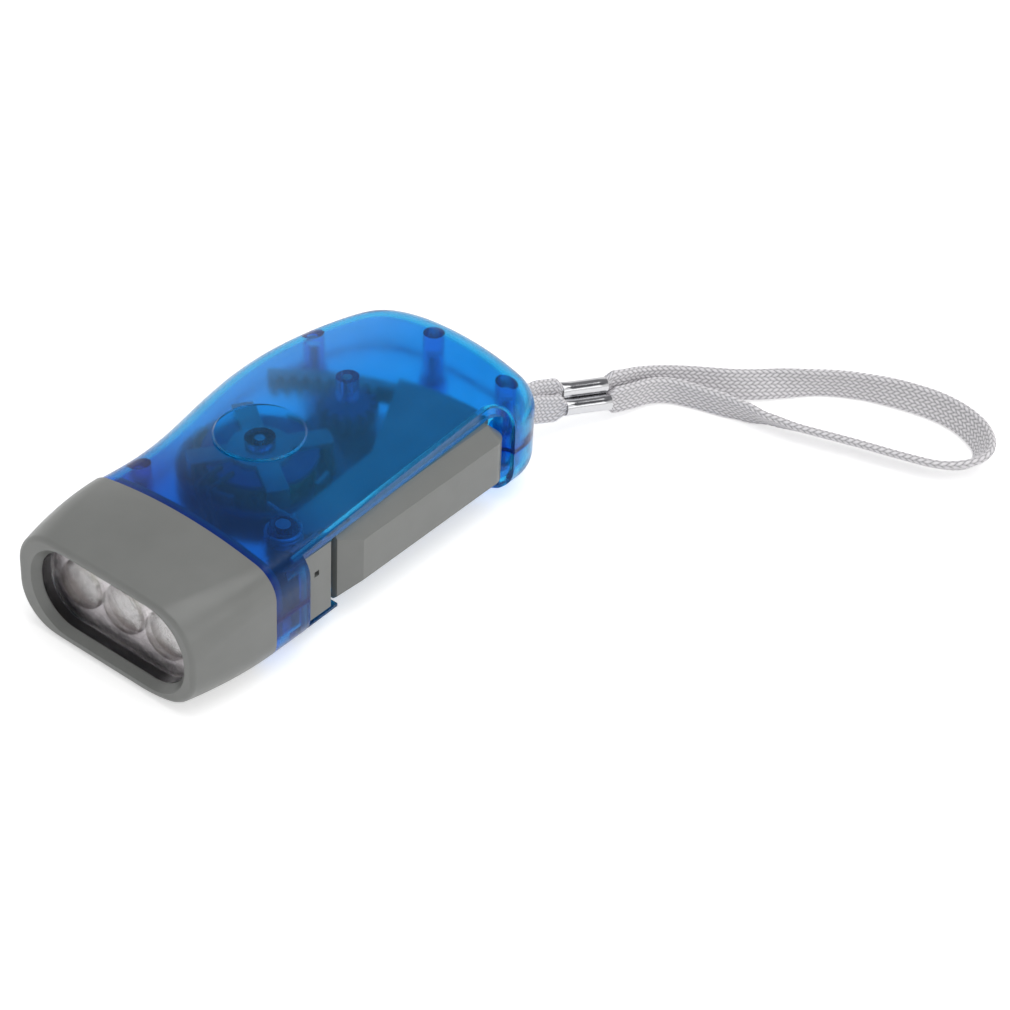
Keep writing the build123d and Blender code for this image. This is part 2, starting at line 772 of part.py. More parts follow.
def make_return_spring():
    """Torsion spring round the pivot: one leg on the lever, the other in the housing."""
    low = web_high + spring_wire
    edges = helix_edges(spring_radius, spring_pitch, spring_turns, low, spring_start_angle)
    start, leave = edges[0].position_at(0), edges[0].tangent_at(0)
    end, arrive = edges[-1].position_at(1), edges[-1].tangent_at(1)
    path = Wire([Edge.make_line(start - leave * spring_leg, start)] + edges
                + [Edge.make_line(end, end + arrive * spring_leg)])
    profile = Plane(origin=path.position_at(0), z_dir=path.tangent_at(0)) * Circle(spring_wire / 2)
    return sweep(profile, path=path)


# Lock slider
def make_slider():
    """Sliding catch in the bay in front of the lever, kept in by a wider plate behind."""
    rear_x = lever_front_x + slider_gap
    body = block((rear_x, slider_inner_y, lever_low), (rear_x + slider_length, slider_face_y, lever_high))
    corner = body.edges().filter_by(Axis.Z).sort_by_distance((rear_x, slider_face_y, parting_z))[:1]
    body = chamfer(corner, slider_bevel)
    back = block((rear_x + slider_back_start, slider_inner_y - slider_back, lever_low - slider_back_lip),
                 (rear_x + slider_back_start + slider_back_length, slider_inner_y, lever_high + slider_back_lip))
    notch_x = bay_front_x - slider_notch_back
    notch = block((notch_x - slider_notch, slider_face_y - slider_notch, slider_notch_z - slider_notch),
                  (notch_x, slider_face_y + overrun, slider_notch_z))
    return body + back - notch


# Head
def section(x, low_y, high_y, low_z, high_z, radius, crown, base):
    """A round-cornered cross-section with a crowned top and a rounded underside, square to X."""
    centre = (low_y + high_y) / 2
    face = Pos(centre, (low_z + high_z) / 2) * Rectangle(high_y - low_y, high_z - low_z)
    face = face & (Pos(centre, high_z - crown) * Circle(crown))
    face = face & base_face(low_z, base)
    corners = [corner for corner in face.vertices() if min(corner.X - low_y, high_y - corner.X) < fit]
    return cross_plane(x) * fillet(corners, radius)


def head_form(inset, start_x, end_x):
    """The closed form of the head between two stations."""
    def between(share, seam_value, rim_value):
        return seam_value + (rim_value - seam_value) * share

    sections = []
    for share, eased in ((0, 0), (belly_share, belly_bulge_share), (1, 1)):
        x = start_x + (end_x - start_x) * share
        sections.append(section(
            x, between(eased, seam_far_y, seam_far_y + rim_far_inset) + inset,
            between(eased, side_y, side_y - rim_side_inset) - inset,
            between(eased, 0, rim_foot) + inset, between(eased, body_height, body_height - rim_drop) - inset,
            between(eased, edge_radius, rim_radius) - inset,
            between(eased, crown_radius, rim_crown_radius) - inset,
            base_round - inset))
    return loft(sections)


mouth_low_y = seam_far_y + mouth_side
mouth_high_y = side_y - mouth_side
mouth_low_z = mouth_low
mouth_high_z = body_height - rim_drop - mouth_top
lens_back_x = front_x - lip_depth - lens_thickness
lens_front_x = front_x - lip_depth


def mouth_face(x, grow):
    """The plan of the mouth, as a face square to X."""
    width = mouth_high_y - mouth_low_y + 2 * grow
    height = mouth_high_z - mouth_low_z + 2 * grow
    face = Pos((mouth_low_y + mouth_high_y) / 2, (mouth_low_z + mouth_high_z) / 2) * RectangleRounded(
        width, height, mouth_radius + grow)
    return cross_plane(x) * face


def make_head():
    """Grey head: a tapering sleeve with a rounded mouth, a bevelled lip and a spigot behind."""
    head = head_form(0, seam_x, front_x)
    rim_edges = head.faces().sort_by(Axis.X)[-1].edges()
    head = fillet(rim_edges, rim_edge)
    spigot_inset = wall + running_fit
    core = pillow(spigot_inset + spigot_wall)
    step_x = seam_x + head_wall
    bounds = block((step_x, far_y, 0), (lens_front_x, side_y, body_height))
    hollow = head_form(head_wall, seam_x, front_x) & bounds
    head = head - hollow
    head = head - (core & block((seam_x - overrun, far_y, 0), (step_x, side_y, body_height)))
    head = head - extrude(mouth_face(lens_front_x - fit, 0), lip_depth + overrun)
    bevel_faces = [mouth_face(front_x - mouth_bevel, 0), mouth_face(front_x + fit, mouth_bevel * bevel_share)]
    head = head - loft(bevel_faces)
    spigot_room = block((seam_x - spigot_length, far_y, 0), (seam_x, side_y, body_height))
    spigot = (pillow(spigot_inset) - core) & spigot_room
    return head + spigot


def lens_places():
    middle = (mouth_low_y + mouth_high_y) / 2
    height = (mouth_low_z + mouth_high_z) / 2
    first = middle - lens_pitch * (lens_count - 1) / 2
    return [(first + lens_pitch * i, height) for i in range(lens_count)]


def make_lens_plate():
    """Clear plate behind the lip, with a bulging lens in front of each diode."""
    lens = extrude(mouth_face(lens_back_x, reflector_margin), lens_thickness - fit)
    ball = (lens_radius**2 + lens_height**2) / (2 * lens_height)
    half = lens_radius / 2
    half_height = lens_height - ball + math.sqrt(ball**2 - half**2)
    profile = Plane.XZ * make_face([
        Line((0, -lens_thickness / 2), (lens_radius, -lens_thickness / 2)),
        Line((lens_radius, -lens_thickness / 2), (lens_radius, 0)),
        ThreePointArc((lens_radius, 0), (half, half_height), (0, lens_height)),
        Line((0, lens_height), (0, -lens_thickness / 2))])
    for y, z in lens_places():
        lens += Pos(lens_front_x - fit, y, z) * Rot(0, 90, 0) * revolve(profile, Axis.Z)
    return lens


def make_reflector():
    """Bright block with a bowl round each diode."""
    back_x = lens_back_x - reflector_length
    body = extrude(mouth_face(back_x, reflector_margin), reflector_length - fit)
    depth = reflector_length - fit
    for y, z in lens_places():
        bowl_line = [(0, 0), (dish_neck_radius, 0), (dish_rim_radius, depth), (0, depth)]
        bulge = (dish_rim_radius * dish_bulge_share, depth * dish_bulge_height_share)
        profile = Plane.XZ * make_face([
            Line(bowl_line[0], bowl_line[1]),
            ThreePointArc(bowl_line[1], bulge, bowl_line[2]),
            Line(bowl_line[2], bowl_line[3]), Line(bowl_line[3], bowl_line[0])])
        bowl = revolve(profile, Axis.Z)
        body -= Pos(back_x, y, z) * Rot(0, 90, 0) * bowl
    return body


def make_leds():
    back_x = lens_back_x - reflector_length - board_gap
    leds = []
    for y, z in lens_places():
        stem = Cylinder(led_radius, led_length - led_radius, align=(Align.CENTER, Align.CENTER, Align.MIN))
        flange = Cylinder(led_flange_radius, board_gap, align=(Align.CENTER, Align.CENTER, Align.MIN))
        dome = Pos(0, 0, led_length - led_radius) * Sphere(led_radius)
        leds.append(Pos(back_x, y, z) * Rot(0, 90, 0) * (stem + flange + dome))
    return leds


def board_back_x():
    return lens_back_x - reflector_length - board_gap - board_thickness


def make_board():
    """Circuit board across the head, square to the beam."""
    return extrude(mouth_face(board_back_x(), reflector_margin), board_thickness)


def make_diodes():
    """Four small rectifier diodes on the back of the board."""
    diodes = []
    y_first, z = lens_places()[0]
    for i in range(diode_count):
        place_z = z + diode_pitch * (i - (diode_count - 1) / 2)
        lying = Rot(90, 0, 0) * Cylinder(diode_radius, diode_length)
        diodes.append(Pos(board_back_x() - diode_radius, y_first, place_z) * lying)
    return diodes


def make_capacitor():
    y, z = lens_places()[1]
    can = Cylinder(capacitor_radius, capacitor_length, align=(Align.CENTER, Align.CENTER, Align.MAX))
    can = fillet(can.edges().filter_by(GeomType.CIRCLE).sort_by(Axis.Z)[:1], capacitor_edge)
    return Pos(board_back_x(), y, z) * Rot(0, 90, 0) * can


def make_lead_wires():
    """Two leads from the coil to the board."""
    wires = []
    y_board, z_board = lens_places()[2]
    for side in (-1, 1):
        step = side * lead_spread
        start_x = rotor_place[0] + bobbin_radius * lead_start_share
        start = (start_x, rotor_place[1] + step, stator_high + wire_radius)
        rise = (rotor_place[0] + flywheel_radius, rotor_place[1] + step, stator_high + wire_radius)
        reach = (board_back_x() - capacitor_length / 2, y_board + step, z_board + diode_pitch)
        end = (board_back_x(), y_board + step, z_board + diode_pitch)
        path = FilletPolyline(start, rise, reach, end, radius=lead_bend)
        profile = Plane(origin=path @ 0, z_dir=path % 0) * Circle(wire_radius)
        wires.append(sweep(profile, path=path))
    return wires


# Wrist strap
def make_strap():
    """The strap's plain tube, in straight runs joined by arcs as wide as the runs allow."""
    points = [Vector(*point) for point in strap_route]
    radii = []
    for before, corner, after in zip(points, points[1:], points[2:]):
        arriving = corner - before
        leaving = after - corner
        half_turn = math.radians(arriving.get_angle(leaving)) / 2
        radii.append(strap_bend_share * min(arriving.length, leaving.length) / math.tan(half_turn))
    path = FilletPolyline(*points, radius=radii)
    profile = Plane(origin=path @ 0, z_dir=path % 0) * Circle(strap_radius)
    strap = sweep(profile, path=path)
    print("strap radii", [round(radius, 1) for radius in radii])
    print("strap length", round(path.length, 1), "volume", round(strap.volume, 1),
          "section times length", round(path.length * math.pi * strap_radius**2, 1))
    return strap


def make_clip():
    """Folded metal clip: two barrels side by side, one round each strand."""
    barrels = Part()
    for near, far in ((strap_route[2], strap_route[3]), (strap_route[-3], strap_route[-4])):
        start, end = Vector(*near), Vector(*far)
        axis = (end - start).normalized()
        plane = Plane(origin=(start + end) / 2, z_dir=axis)
        ring = Circle(strap_radius - clip_squeeze + clip_wall) - Circle(strap_radius - clip_squeeze)
        barrels += plane * extrude(ring, clip_length / 2, both=True)
    return barrels


nodes = {
    "upper_shell": make_upper_shell(),
    "lower_shell": make_lower_shell(),
    "housing_screws": make_screws(),
    "head_bezel": make_head(),
    "lens_plate": make_lens_plate(),
    "reflector": make_reflector(),
    "leds": make_leds(),
    "circuit_board": make_board(),
    "diodes": make_diodes(),
    "capacitor": make_capacitor(),
    "lead_wires": make_lead_wires(),
    "stator_yoke_top": make_yoke(stator_high, -1, yoke_angle),
    "stator_yoke_bottom": make_yoke(stator_low, 1, yoke_angle + 180 / claw_count),
    "coil_bobbin": make_bobbin(),
    "coil_winding": make_coil(),
    "flywheel": make_flywheel(),
    "ring_magnet": make_ring_magnet(),
    "rotor_shaft": rod(rotor_place, floor_z / 2 + fit, shaft_top, shaft_radius),
    "rotor_pinion": make_rotor_pinion(),
    "gear_bridge": make_gear_bridge(),
    "bridge_screws": make_bridge_screws(),
    "compound_gear": make_compound_gear(),
    "compound_shaft": rod(compound_place, floor_z / 2 + fit, bridge_high, shaft_radius),
    "drive_wheel": make_drive_wheel(),
    "input_pinion": make_input_pinion(),
    "clutch_rollers": make_clutch_rollers(),
    "input_shaft": rod(input_place, floor_z / 2 + fit, shaft_top, shaft_radius),
    "squeeze_lever": make_lever(),
    "sector_rack": make_sector_rack(),
    "pivot_pin": rod(pivot, floor_z / 2 + fit, shaft_top, pivot_pin_radius),
    "return_spring": make_return_spring(),
    "lock_slider": make_slider(),
    "wrist_strap": make_strap(),
    "strap_clip": make_clip(),
}

for name, shape in nodes.items():
    if isinstance(shape, list):
        shape = Compound(children=list(shape))
    export_step(shape, f"parts/{name}.step")
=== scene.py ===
"""Looks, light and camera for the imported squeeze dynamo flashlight."""

import math

import bpy
from mathutils import Matrix, Vector


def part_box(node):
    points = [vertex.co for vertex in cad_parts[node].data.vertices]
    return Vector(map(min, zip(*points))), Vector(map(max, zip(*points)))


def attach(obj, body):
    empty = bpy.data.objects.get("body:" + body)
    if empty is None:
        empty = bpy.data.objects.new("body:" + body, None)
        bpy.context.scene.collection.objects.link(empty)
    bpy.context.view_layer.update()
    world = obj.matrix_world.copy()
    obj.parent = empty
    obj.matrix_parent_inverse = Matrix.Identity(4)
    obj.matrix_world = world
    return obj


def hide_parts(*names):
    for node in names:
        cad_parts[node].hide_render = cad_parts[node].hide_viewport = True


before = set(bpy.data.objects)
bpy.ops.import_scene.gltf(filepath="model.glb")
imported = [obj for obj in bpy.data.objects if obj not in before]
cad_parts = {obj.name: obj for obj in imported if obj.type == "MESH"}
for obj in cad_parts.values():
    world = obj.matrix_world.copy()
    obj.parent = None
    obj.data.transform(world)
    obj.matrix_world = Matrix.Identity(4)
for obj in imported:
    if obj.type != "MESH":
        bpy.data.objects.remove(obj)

bl_info = {
    "name": "Dynamo Flashlight Looks",
    "version": (1, 0, 0),
    "blender": (4, 5, 0),
    "location": "View3D > Sidebar > Flashlight",
    "description": "Dresses the packed dynamo flashlight and sets up its studio",
    "category": "Object",
}

# Points of the strap's route in metres, from where it leaves the tail round the loop and back.
STRAP_ROUTE = [
    (-0.0464, 0.0189, 0.0143),
    (-0.0555, 0.0162, 0.0129),
    (-0.0635, 0.0166, 0.0098),
    (-0.0775, 0.0232, 0.0077),
    (-0.0861, 0.0249, 0.0051),
    (-0.0941, 0.0312, 0.0036),
    (-0.1007, 0.0408, 0.0034),
    (-0.1090, 0.0483, 0.0034),
    (-0.1158, 0.0558, 0.0034),
    (-0.1210, 0.0668, 0.0034),
    (-0.1236, 0.0790, 0.0033),
    (-0.1203, 0.0895, 0.0032),
    (-0.1133, 0.0937, 0.0032),
    (-0.1062, 0.0893, 0.0032),
    (-0.1031, 0.0797, 0.0031),
    (-0.1003, 0.0694, 0.0031),
    (-0.0968, 0.0590, 0.0031),
    (-0.0940, 0.0485, 0.0032),
    (-0.0913, 0.0377, 0.0033),
    (-0.0878, 0.0278, 0.0036),
    (-0.0772, 0.0254, 0.0047),
    (-0.0622, 0.0183, 0.0069),
    (-0.0546, 0.0176, 0.0106),
    (-0.0472, 0.0189, 0.0114),
]

# How far the braid leans from upright, in degrees, against the share of its length.
STRAP_LEAN = [
    (0.000, 0.0),
    (0.140, 0.0),
    (0.220, -22.0),
    (0.280, -34.0),
    (0.335, -2.0),
    (0.370, -4.0),
    (0.410, -16.0),
    (0.450, -22.0),
    (0.500, -30.0),
    (0.540, -44.0),
    (0.570, -51.5),
    (0.690, -51.5),
    (0.720, -42.0),
    (0.745, -20.0),
    (0.770, -8.0),
    (0.840, 0.0),
    (1.000, 0.0),
]

# The two runs that go through the clip's barrels, as the numbers of their points.
CLIP_RUNS = ((2, 3), (20, 21))

# Shares of a yarn's height that come from its wave over and under and from its round top, and its middle
YARN_WAVE = 0.55
YARN_CROWN = 0.75
YARN_MIDDLE = 0.6
# Shift of the second direction's wave, in yarns, so that it goes under where the first goes over
YARN_SHIFT = 2.0

# The scale and height of the surface grain's broad part, against the fine part
BROAD_SHARE = 0.08
BROAD_HEIGHT = 1.5
# What a noise mostly stays between
MASK_LOW = 0.3
MASK_HIGH = 0.7
# How strongly a mottle's depth spreads its colour, and the scale of a plastic's mottle
MOTTLE_GAIN = 4.0
MOTTLE_SCALE = 180.0

# Surfaces: depth of the mottle, roughness from and to, and the grain's scale, strength and height
GREY_SURFACE = (0.03, (0.28, 0.38), 3200.0, 0.3, 0.000022)
SURFACES = {
    "grey_abs": GREY_SURFACE,
    "grey_head": GREY_SURFACE,
    "screw_steel": (0.05, (0.25, 0.38), 2500.0, 0.25, 0.00001),
    "steel": (0.05, (0.2, 0.34), 2800.0, 0.25, 0.00001),
    "yoke_iron": (0.12, (0.3, 0.45), 1400.0, 0.4, 0.00002),
    "black_part": (0.08, (0.28, 0.4), 1800.0, 0.3, 0.00002),
    "wire_insulation": (0.08, (0.35, 0.45), 1200.0, 0.2, 0.00002),
    "magnet_black": (0.2, (0.5, 0.65), 2600.0, 0.5, 0.00003),
    "flywheel_black": (0.1, (0.3, 0.42), 1800.0, 0.3, 0.00002),
    "dark_acetal": (0.06, (0.3, 0.42), 2200.0, 0.25, 0.00002),
}

# Masks on the CAD nodes, in metres. From the shells' parting line: where the painted shade of the seam's
# line fades
SEAM_SHADE_LINE = (0.00012, 0.0004)
# Back from the shells' front edge: where the rim's painted shade line and the deeper colour begin and are
# full
RIM_SHADE_LINE = (0.0011, 0.0006)
DEEP_FRONT = (0.024, 0.007)
# Back from the head's lip and in from the lens plate's edges: where the recess, with its painted shade,
# begins
RECESS_LIP = 0.0018
RECESS_MARGIN = 0.0004

# Colours with full alpha
# Painted shade at the braid's crossings
YARN_CROSSING_SHADE = (0.32, 0.31, 0.325, 1.0)
# The yarns' pale colour with a painted highlight on their crowns
YARN_PALE_AND_HIGHLIGHT = (0.90, 0.88, 0.905, 1.0)
CHROME_DULL = (0.52, 0.52, 0.54, 1.0)
CHROME_BRIGHT = (0.64, 0.64, 0.65, 1.0)
# Painted shade: deeper blue for the long light path inside the housing's plastic at its edges
EDGE_SHADE_BLUE = (0.01, 0.14, 0.78, 1.0)
# Painted shade: near black in the head's recess round the lens plate
RECESS_SHADE_BLACK = (0.012, 0.012, 0.013, 1.0)
LENS_CLEAR = (0.95, 0.965, 0.99, 1.0)
EPOXY_CLEAR = (0.95, 0.93, 0.80, 1.0)
# Painted shade along the seams between the reflector's facets
COAT_SEAM_SHADE = (0.62, 0.56, 0.57, 1.0)
COAT_FACET = (0.84, 0.78, 0.79, 1.0)
BOARD_TRACK = (0.10, 0.36, 0.12, 1.0)
BOARD_GREEN = (0.02, 0.15, 0.05, 1.0)
# Painted shade in the grooves between the coil's turns
WIRE_GROOVE_SHADE = (0.25, 0.08, 0.03, 1.0)
WIRE_CROWN = (0.75, 0.33, 0.14, 1.0)
WHITE = (1.0, 1.0, 1.0, 1.0)

# From one turn of the coil's wire to the next, and how far a turn wanders, in metres
WIRE_PITCH = 0.00028
WIRE_WANDER = 0.0002

# The clip's mesh: sides of a barrel, cuts along it, the share of its length past which an edge is at its
# end, and the rounding of its edge as a share of the sheet
BARREL_SIDES = 64
BARREL_CUTS = 4
BARREL_END = 0.499
BARREL_EDGE = 0.35

# Units of the braid's UV for a metre along it
UV_PER_METRE = 1000.0

# The room that camera, gloss and glass rays see: the upward part of a ray's direction where the dim ceiling
# begins and is full, its part towards the camera where the ceiling's dark side does, and both greys
CEILING_RANGE = (0.36, 0.58)
DARK_RANGE = (-0.2, 0.4)
CEILING_GREY = (0.24, 0.24, 0.25, 1.0)
CEILING_DARK = (0.06, 0.06, 0.065, 1.0)

# The floor's own grey, its glow to the camera and its level in metres
FLOOR_GREY = (0.9, 0.9, 0.9, 1.0)
FLOOR_GLOW = 0.5
FLOOR_LEVEL = -0.00005

# Lamps: name, place along the camera's right, its level direction and upwards, side and power
LAMPS = (
    ("key_lamp", (0.2, 0.05, 1.0), 0.9, 4.6),
    ("fill_lamp", (0.8, 0.7, 0.7), 0.8, 2.1),
)
LAMP_AIM = (0.0, 0.02, 0.01)

# The camera's sensor width in millimetres
SENSOR = 36.0


class StrapSettings(bpy.types.PropertyGroup):
    """Sizes of the wrist strap's braid"""

    width: bpy.props.FloatProperty(
        name="Width", description="Width of the flat braid",
        default=0.0064, subtype="DISTANCE", unit="LENGTH",
    )
    thickness: bpy.props.FloatProperty(
        name="Thickness", description="Thickness of the flat braid",
        default=0.0014, subtype="DISTANCE", unit="LENGTH",
    )
    yarns: bpy.props.IntProperty(
        name="Yarns", description="Yarns in each of the braid's two directions", default=18
    )
    stitch: bpy.props.FloatProperty(
        name="Stitch", description="Length of one stitch",
        default=0.0014, subtype="DISTANCE", unit="LENGTH",
    )
    relief: bpy.props.FloatProperty(
        name="Relief", description="Height of a yarn over its crossings",
        default=0.00022, subtype="DISTANCE", unit="LENGTH",
    )
    pinch_width: bpy.props.FloatProperty(
        name="Width in Clip", description="Width inside the clip",
        default=0.0030, subtype="DISTANCE", unit="LENGTH",
    )
    pinch_thickness: bpy.props.FloatProperty(
        name="Thickness in Clip", description="Thickness inside the clip",
        default=0.0022, subtype="DISTANCE", unit="LENGTH",
    )
    pinch_run: bpy.props.FloatProperty(
        name="Taper", description="Length over which the clip pinches the braid",
        default=0.0026, subtype="DISTANCE", unit="LENGTH",
    )
    around: bpy.props.IntProperty(
        name="Around", description="Points around the braid", default=88
    )
    steps: bpy.props.IntProperty(
        name="Steps", description="Points on each stretch of the route's spline", default=38
    )


class ClipSettings(bpy.types.PropertyGroup):
    """Sizes of the metal strap clip"""

    length: bpy.props.FloatProperty(
        name="Length", description="Length of each barrel",
        default=0.0108, subtype="DISTANCE", unit="LENGTH",
    )
    across: bpy.props.FloatProperty(
        name="Across", description="Outer width of a barrel",
        default=0.0040, subtype="DISTANCE", unit="LENGTH",
    )
    height: bpy.props.FloatProperty(
        name="Height", description="Outer height of a barrel",
        default=0.0036, subtype="DISTANCE", unit="LENGTH",
    )
    sheet: bpy.props.FloatProperty(
        name="Sheet", description="Thickness of the folded sheet",
        default=0.00035, subtype="DISTANCE", unit="LENGTH",
    )
    mouth: bpy.props.FloatProperty(
        name="Mouth", description="How far inside a barrel the braid is fully pinched",
        default=0.0006, subtype="DISTANCE", unit="LENGTH",
    )
    flare: bpy.props.FloatProperty(
        name="Flare", description="How much wider a barrel is at its ends", default=1.05
    )


class FinishSettings(bpy.types.PropertyGroup):
    """Colours of the flashlight's finishes"""

    blue: bpy.props.FloatVectorProperty(
        name="Blue", description="Absorption colour of the housing's plastic",
        default=(0.0, 0.92, 0.97), subtype="COLOR",
    )
    tint: bpy.props.FloatVectorProperty(
        name="Tint", description="Colour of the housing's surface and haze",
        default=(0.08, 0.54, 0.94), subtype="COLOR",
    )
    deep: bpy.props.FloatVectorProperty(
        name="Deep", description="Colour of the housing near the head",
        default=(0.03, 0.26, 0.70), subtype="COLOR",
    )
    grey: bpy.props.FloatVectorProperty(
        name="Grey", description="Colour of the head, lever and slider",
        default=(0.196, 0.201, 0.193), subtype="COLOR",
    )
    density: bpy.props.FloatProperty(
        name="Density", description="How strongly the blue plastic absorbs, per metre", default=300.0
    )
    frost: bpy.props.FloatProperty(
        name="Frost", description="Roughness of the blue plastic",
        default=0.2, min=0.0, max=1.0, subtype="FACTOR",
    )


class StageSettings(bpy.types.PropertyGroup):
    """Camera and light of the studio"""

    azimuth: bpy.props.FloatProperty(
        name="Azimuth", description="Camera direction round the object",
        default=math.radians(127.359), subtype="ANGLE", unit="ROTATION",
    )
    elevation: bpy.props.FloatProperty(
        name="Elevation", description="Camera direction over the floor",
        default=math.radians(38.504), subtype="ANGLE", unit="ROTATION",
    )
    roll: bpy.props.FloatProperty(
        name="Roll", description="Camera turn about its own axis",
        default=math.radians(3.008), subtype="ANGLE", unit="ROTATION",
    )
    distance: bpy.props.FloatProperty(
        name="Distance", description="Camera distance from its target",
        default=0.592888, subtype="DISTANCE", unit="LENGTH",
    )
    lens: bpy.props.FloatProperty(
        name="Lens", description="Focal length on a 36 mm sensor", default=106.93
    )
    target: bpy.props.FloatVectorProperty(
        name="Target", description="Point that the camera's direction is taken from",
        default=(0.0020, 0.0029, 0.0126), subtype="XYZ",
    )
    offset: bpy.props.FloatVectorProperty(
        name="Offset", description="Shift of the camera to its right and upwards",
        default=(0.042591, 0.000940), size=2,
    )
    sky: bpy.props.FloatProperty(
        name="Sky", description="Strength of the world's light", default=0.5
    )
    floor_size: bpy.props.FloatProperty(
        name="Floor", description="Side of the floor", default=6.0, subtype="DISTANCE", unit="LENGTH"
    )


def run(operator, **options):
    """Runs a Blender operator and stops if it can't finish."""
    if "FINISHED" not in operator(**options):
        raise RuntimeError(f"{operator.idname()} didn't finish")


def smoothstep(value):
    """Smooth step from 0 to 1."""
    value = min(max(value, 0.0), 1.0)
    return value * value * (3.0 - 2.0 * value)


def eased(table, at):
    """Value of a table of (place, value) rows at a place, eased between rows."""
    for (low, first), (high, second) in zip(table, table[1:]):
        if at <= high:
            return first + (second - first) * smoothstep((at - low) / (high - low))
    return table[-1][1]


# Node helpers


def feed(tree, socket, value):
    """Links an output to a socket, or sets the socket's own value."""
    if hasattr(value, "is_output"):
        tree.links.new(value, socket)
    else:
        socket.default_value = value


def node(tree, kind, inputs=None, **values):
    """A new node with its properties set and its inputs fed."""
    made = tree.nodes.new(kind)
    for key, value in values.items():
        setattr(made, key, value)
    for key, value in (inputs or {}).items():
        feed(tree, made.inputs[key], value)
    return made


def new_group(name, wanted, given):
    """An empty node group with those input and output sockets, and its two end nodes."""
    tree = bpy.data.node_groups.new(name, "ShaderNodeTree")
    for label, kind, default in wanted:
        socket = tree.interface.new_socket(label, in_out="INPUT", socket_type=kind)
        socket.default_value = default
    for label, kind in given:
        tree.interface.new_socket(label, in_out="OUTPUT", socket_type=kind)
    return tree, tree.nodes.new("NodeGroupInput"), tree.nodes.new("NodeGroupOutput")


def use(tree, group, **inputs):
    """A node that uses a group."""
    made = tree.nodes.new("ShaderNodeGroup")
    made.node_tree = group
    for key, value in inputs.items():
        feed(tree, made.inputs[key], value)
    return made


def math_node(tree, operation, first, second=0.0, clamp=False):
    """The output of a Math node."""
    made = node(tree, "ShaderNodeMath", {0: first, 1: second}, operation=operation, use_clamp=clamp)
    return made.outputs[0]


def mixed(tree, factor, first, second):
    """The output of a colour Mix node; its colour sockets are inputs 6 and 7 and output 2."""
    made = node(tree, "ShaderNodeMix", data_type="RGBA")
    for number, value in ((0, factor), (6, first), (7, second)):
        feed(tree, made.inputs[number], value)
    return made.outputs[2]


def rgba(colour):
    """A colour with full alpha."""
    return (colour[0], colour[1], colour[2], 1.0)


def object_place(tree):
    """The place on the object, in metres."""
    return node(tree, "ShaderNodeTexCoord").outputs["Object"]


def object_axes(tree):
    """The X, Y and Z outputs of the place on the object."""
    return node(tree, "ShaderNodeSeparateXYZ", {"Vector": object_place(tree)}).outputs


def ranged(tree, value, low, high, first=0.0, last=1.0):
    """A value taken from one range to another, held at the ends."""
    ends = {"Value": value, "From Min": low, "From Max": high, "To Min": first, "To Max": last}
    return node(tree, "ShaderNodeMapRange", ends).outputs["Result"]


def noised(tree, place, scale, detail=2.0):
    """The value of a noise texture."""
    wanted = {"Vector": place, "Scale": scale, "Detail": detail}
    return node(tree, "ShaderNodeTexNoise", wanted).outputs["Fac"]


def bumped(tree, height, strength, distance):
    """The normal of a bump."""
    wanted = {"Height": height, "Strength": strength, "Distance": distance}
    return node(tree, "ShaderNodeBump", wanted).outputs["Normal"]


def scaled(tree, colour, factor):
    """A colour times a factor."""
    made = node(tree, "ShaderNodeVectorMath", {0: colour, "Scale": factor}, operation="SCALE")
    return made.outputs["Vector"]


def finish_shader(tree, shader, colour, rough, normal):
    """Links a colour, a roughness and a normal to the shader."""
    tree.links.new(colour, shader.inputs["Base Color"])
    tree.links.new(rough, shader.inputs["Roughness"])
    tree.links.new(normal, shader.inputs["Normal"])


def grain_group():
    """Fine moulded or blasted grain: noise over object coordinates as a normal and a mask."""
    name = "Surface Grain"
    if name in bpy.data.node_groups:
        return bpy.data.node_groups[name]
    wanted = [
        ("Scale", "NodeSocketFloat", 3000.0),
        ("Strength", "NodeSocketFloat", 0.3),
        ("Height", "NodeSocketFloat", 0.00002),
    ]
    given = [("Normal", "NodeSocketVector"), ("Mask", "NodeSocketFloat")]
    tree, start, end = new_group(name, wanted, given)
    place = object_place(tree)
    fine = noised(tree, place, start.outputs["Scale"], detail=3.0)
    broad = noised(tree, place, math_node(tree, "MULTIPLY", start.outputs["Scale"], BROAD_SHARE))
    height = math_node(tree, "ADD", fine, math_node(tree, "MULTIPLY", broad, BROAD_HEIGHT))
    normal = bumped(tree, height, start.outputs["Strength"], start.outputs["Height"])
    tree.links.new(normal, end.inputs["Normal"])
    tree.links.new(broad, end.inputs["Mask"])
    return tree


def mottle_group():
    """Slight variation of a colour over object coordinates."""
    name = "Colour Mottle"
    if name in bpy.data.node_groups:
        return bpy.data.node_groups[name]
    wanted = [
        ("Color", "NodeSocketColor", (0.5, 0.5, 0.5, 1.0)),
        ("Scale", "NodeSocketFloat", 150.0),
        ("Depth", "NodeSocketFloat", 0.1),
    ]
    tree, start, end = new_group(name, wanted, [("Color", "NodeSocketColor")])
    noise = noised(tree, object_place(tree), start.outputs["Scale"], detail=4.0)
    centred = math_node(tree, "SUBTRACT", noise, 0.5)
    gain = math_node(tree, "MULTIPLY", centred, start.outputs["Depth"])
    factor = math_node(tree, "ADD", math_node(tree, "MULTIPLY", gain, MOTTLE_GAIN), 1.0)
    tree.links.new(scaled(tree, start.outputs["Color"], factor), end.inputs["Color"])
    return tree


def rough_range(tree, mask, low, high):
    """Roughness between two values, from a noise mask."""
    return ranged(tree, mask, MASK_LOW, MASK_HIGH, low, high)


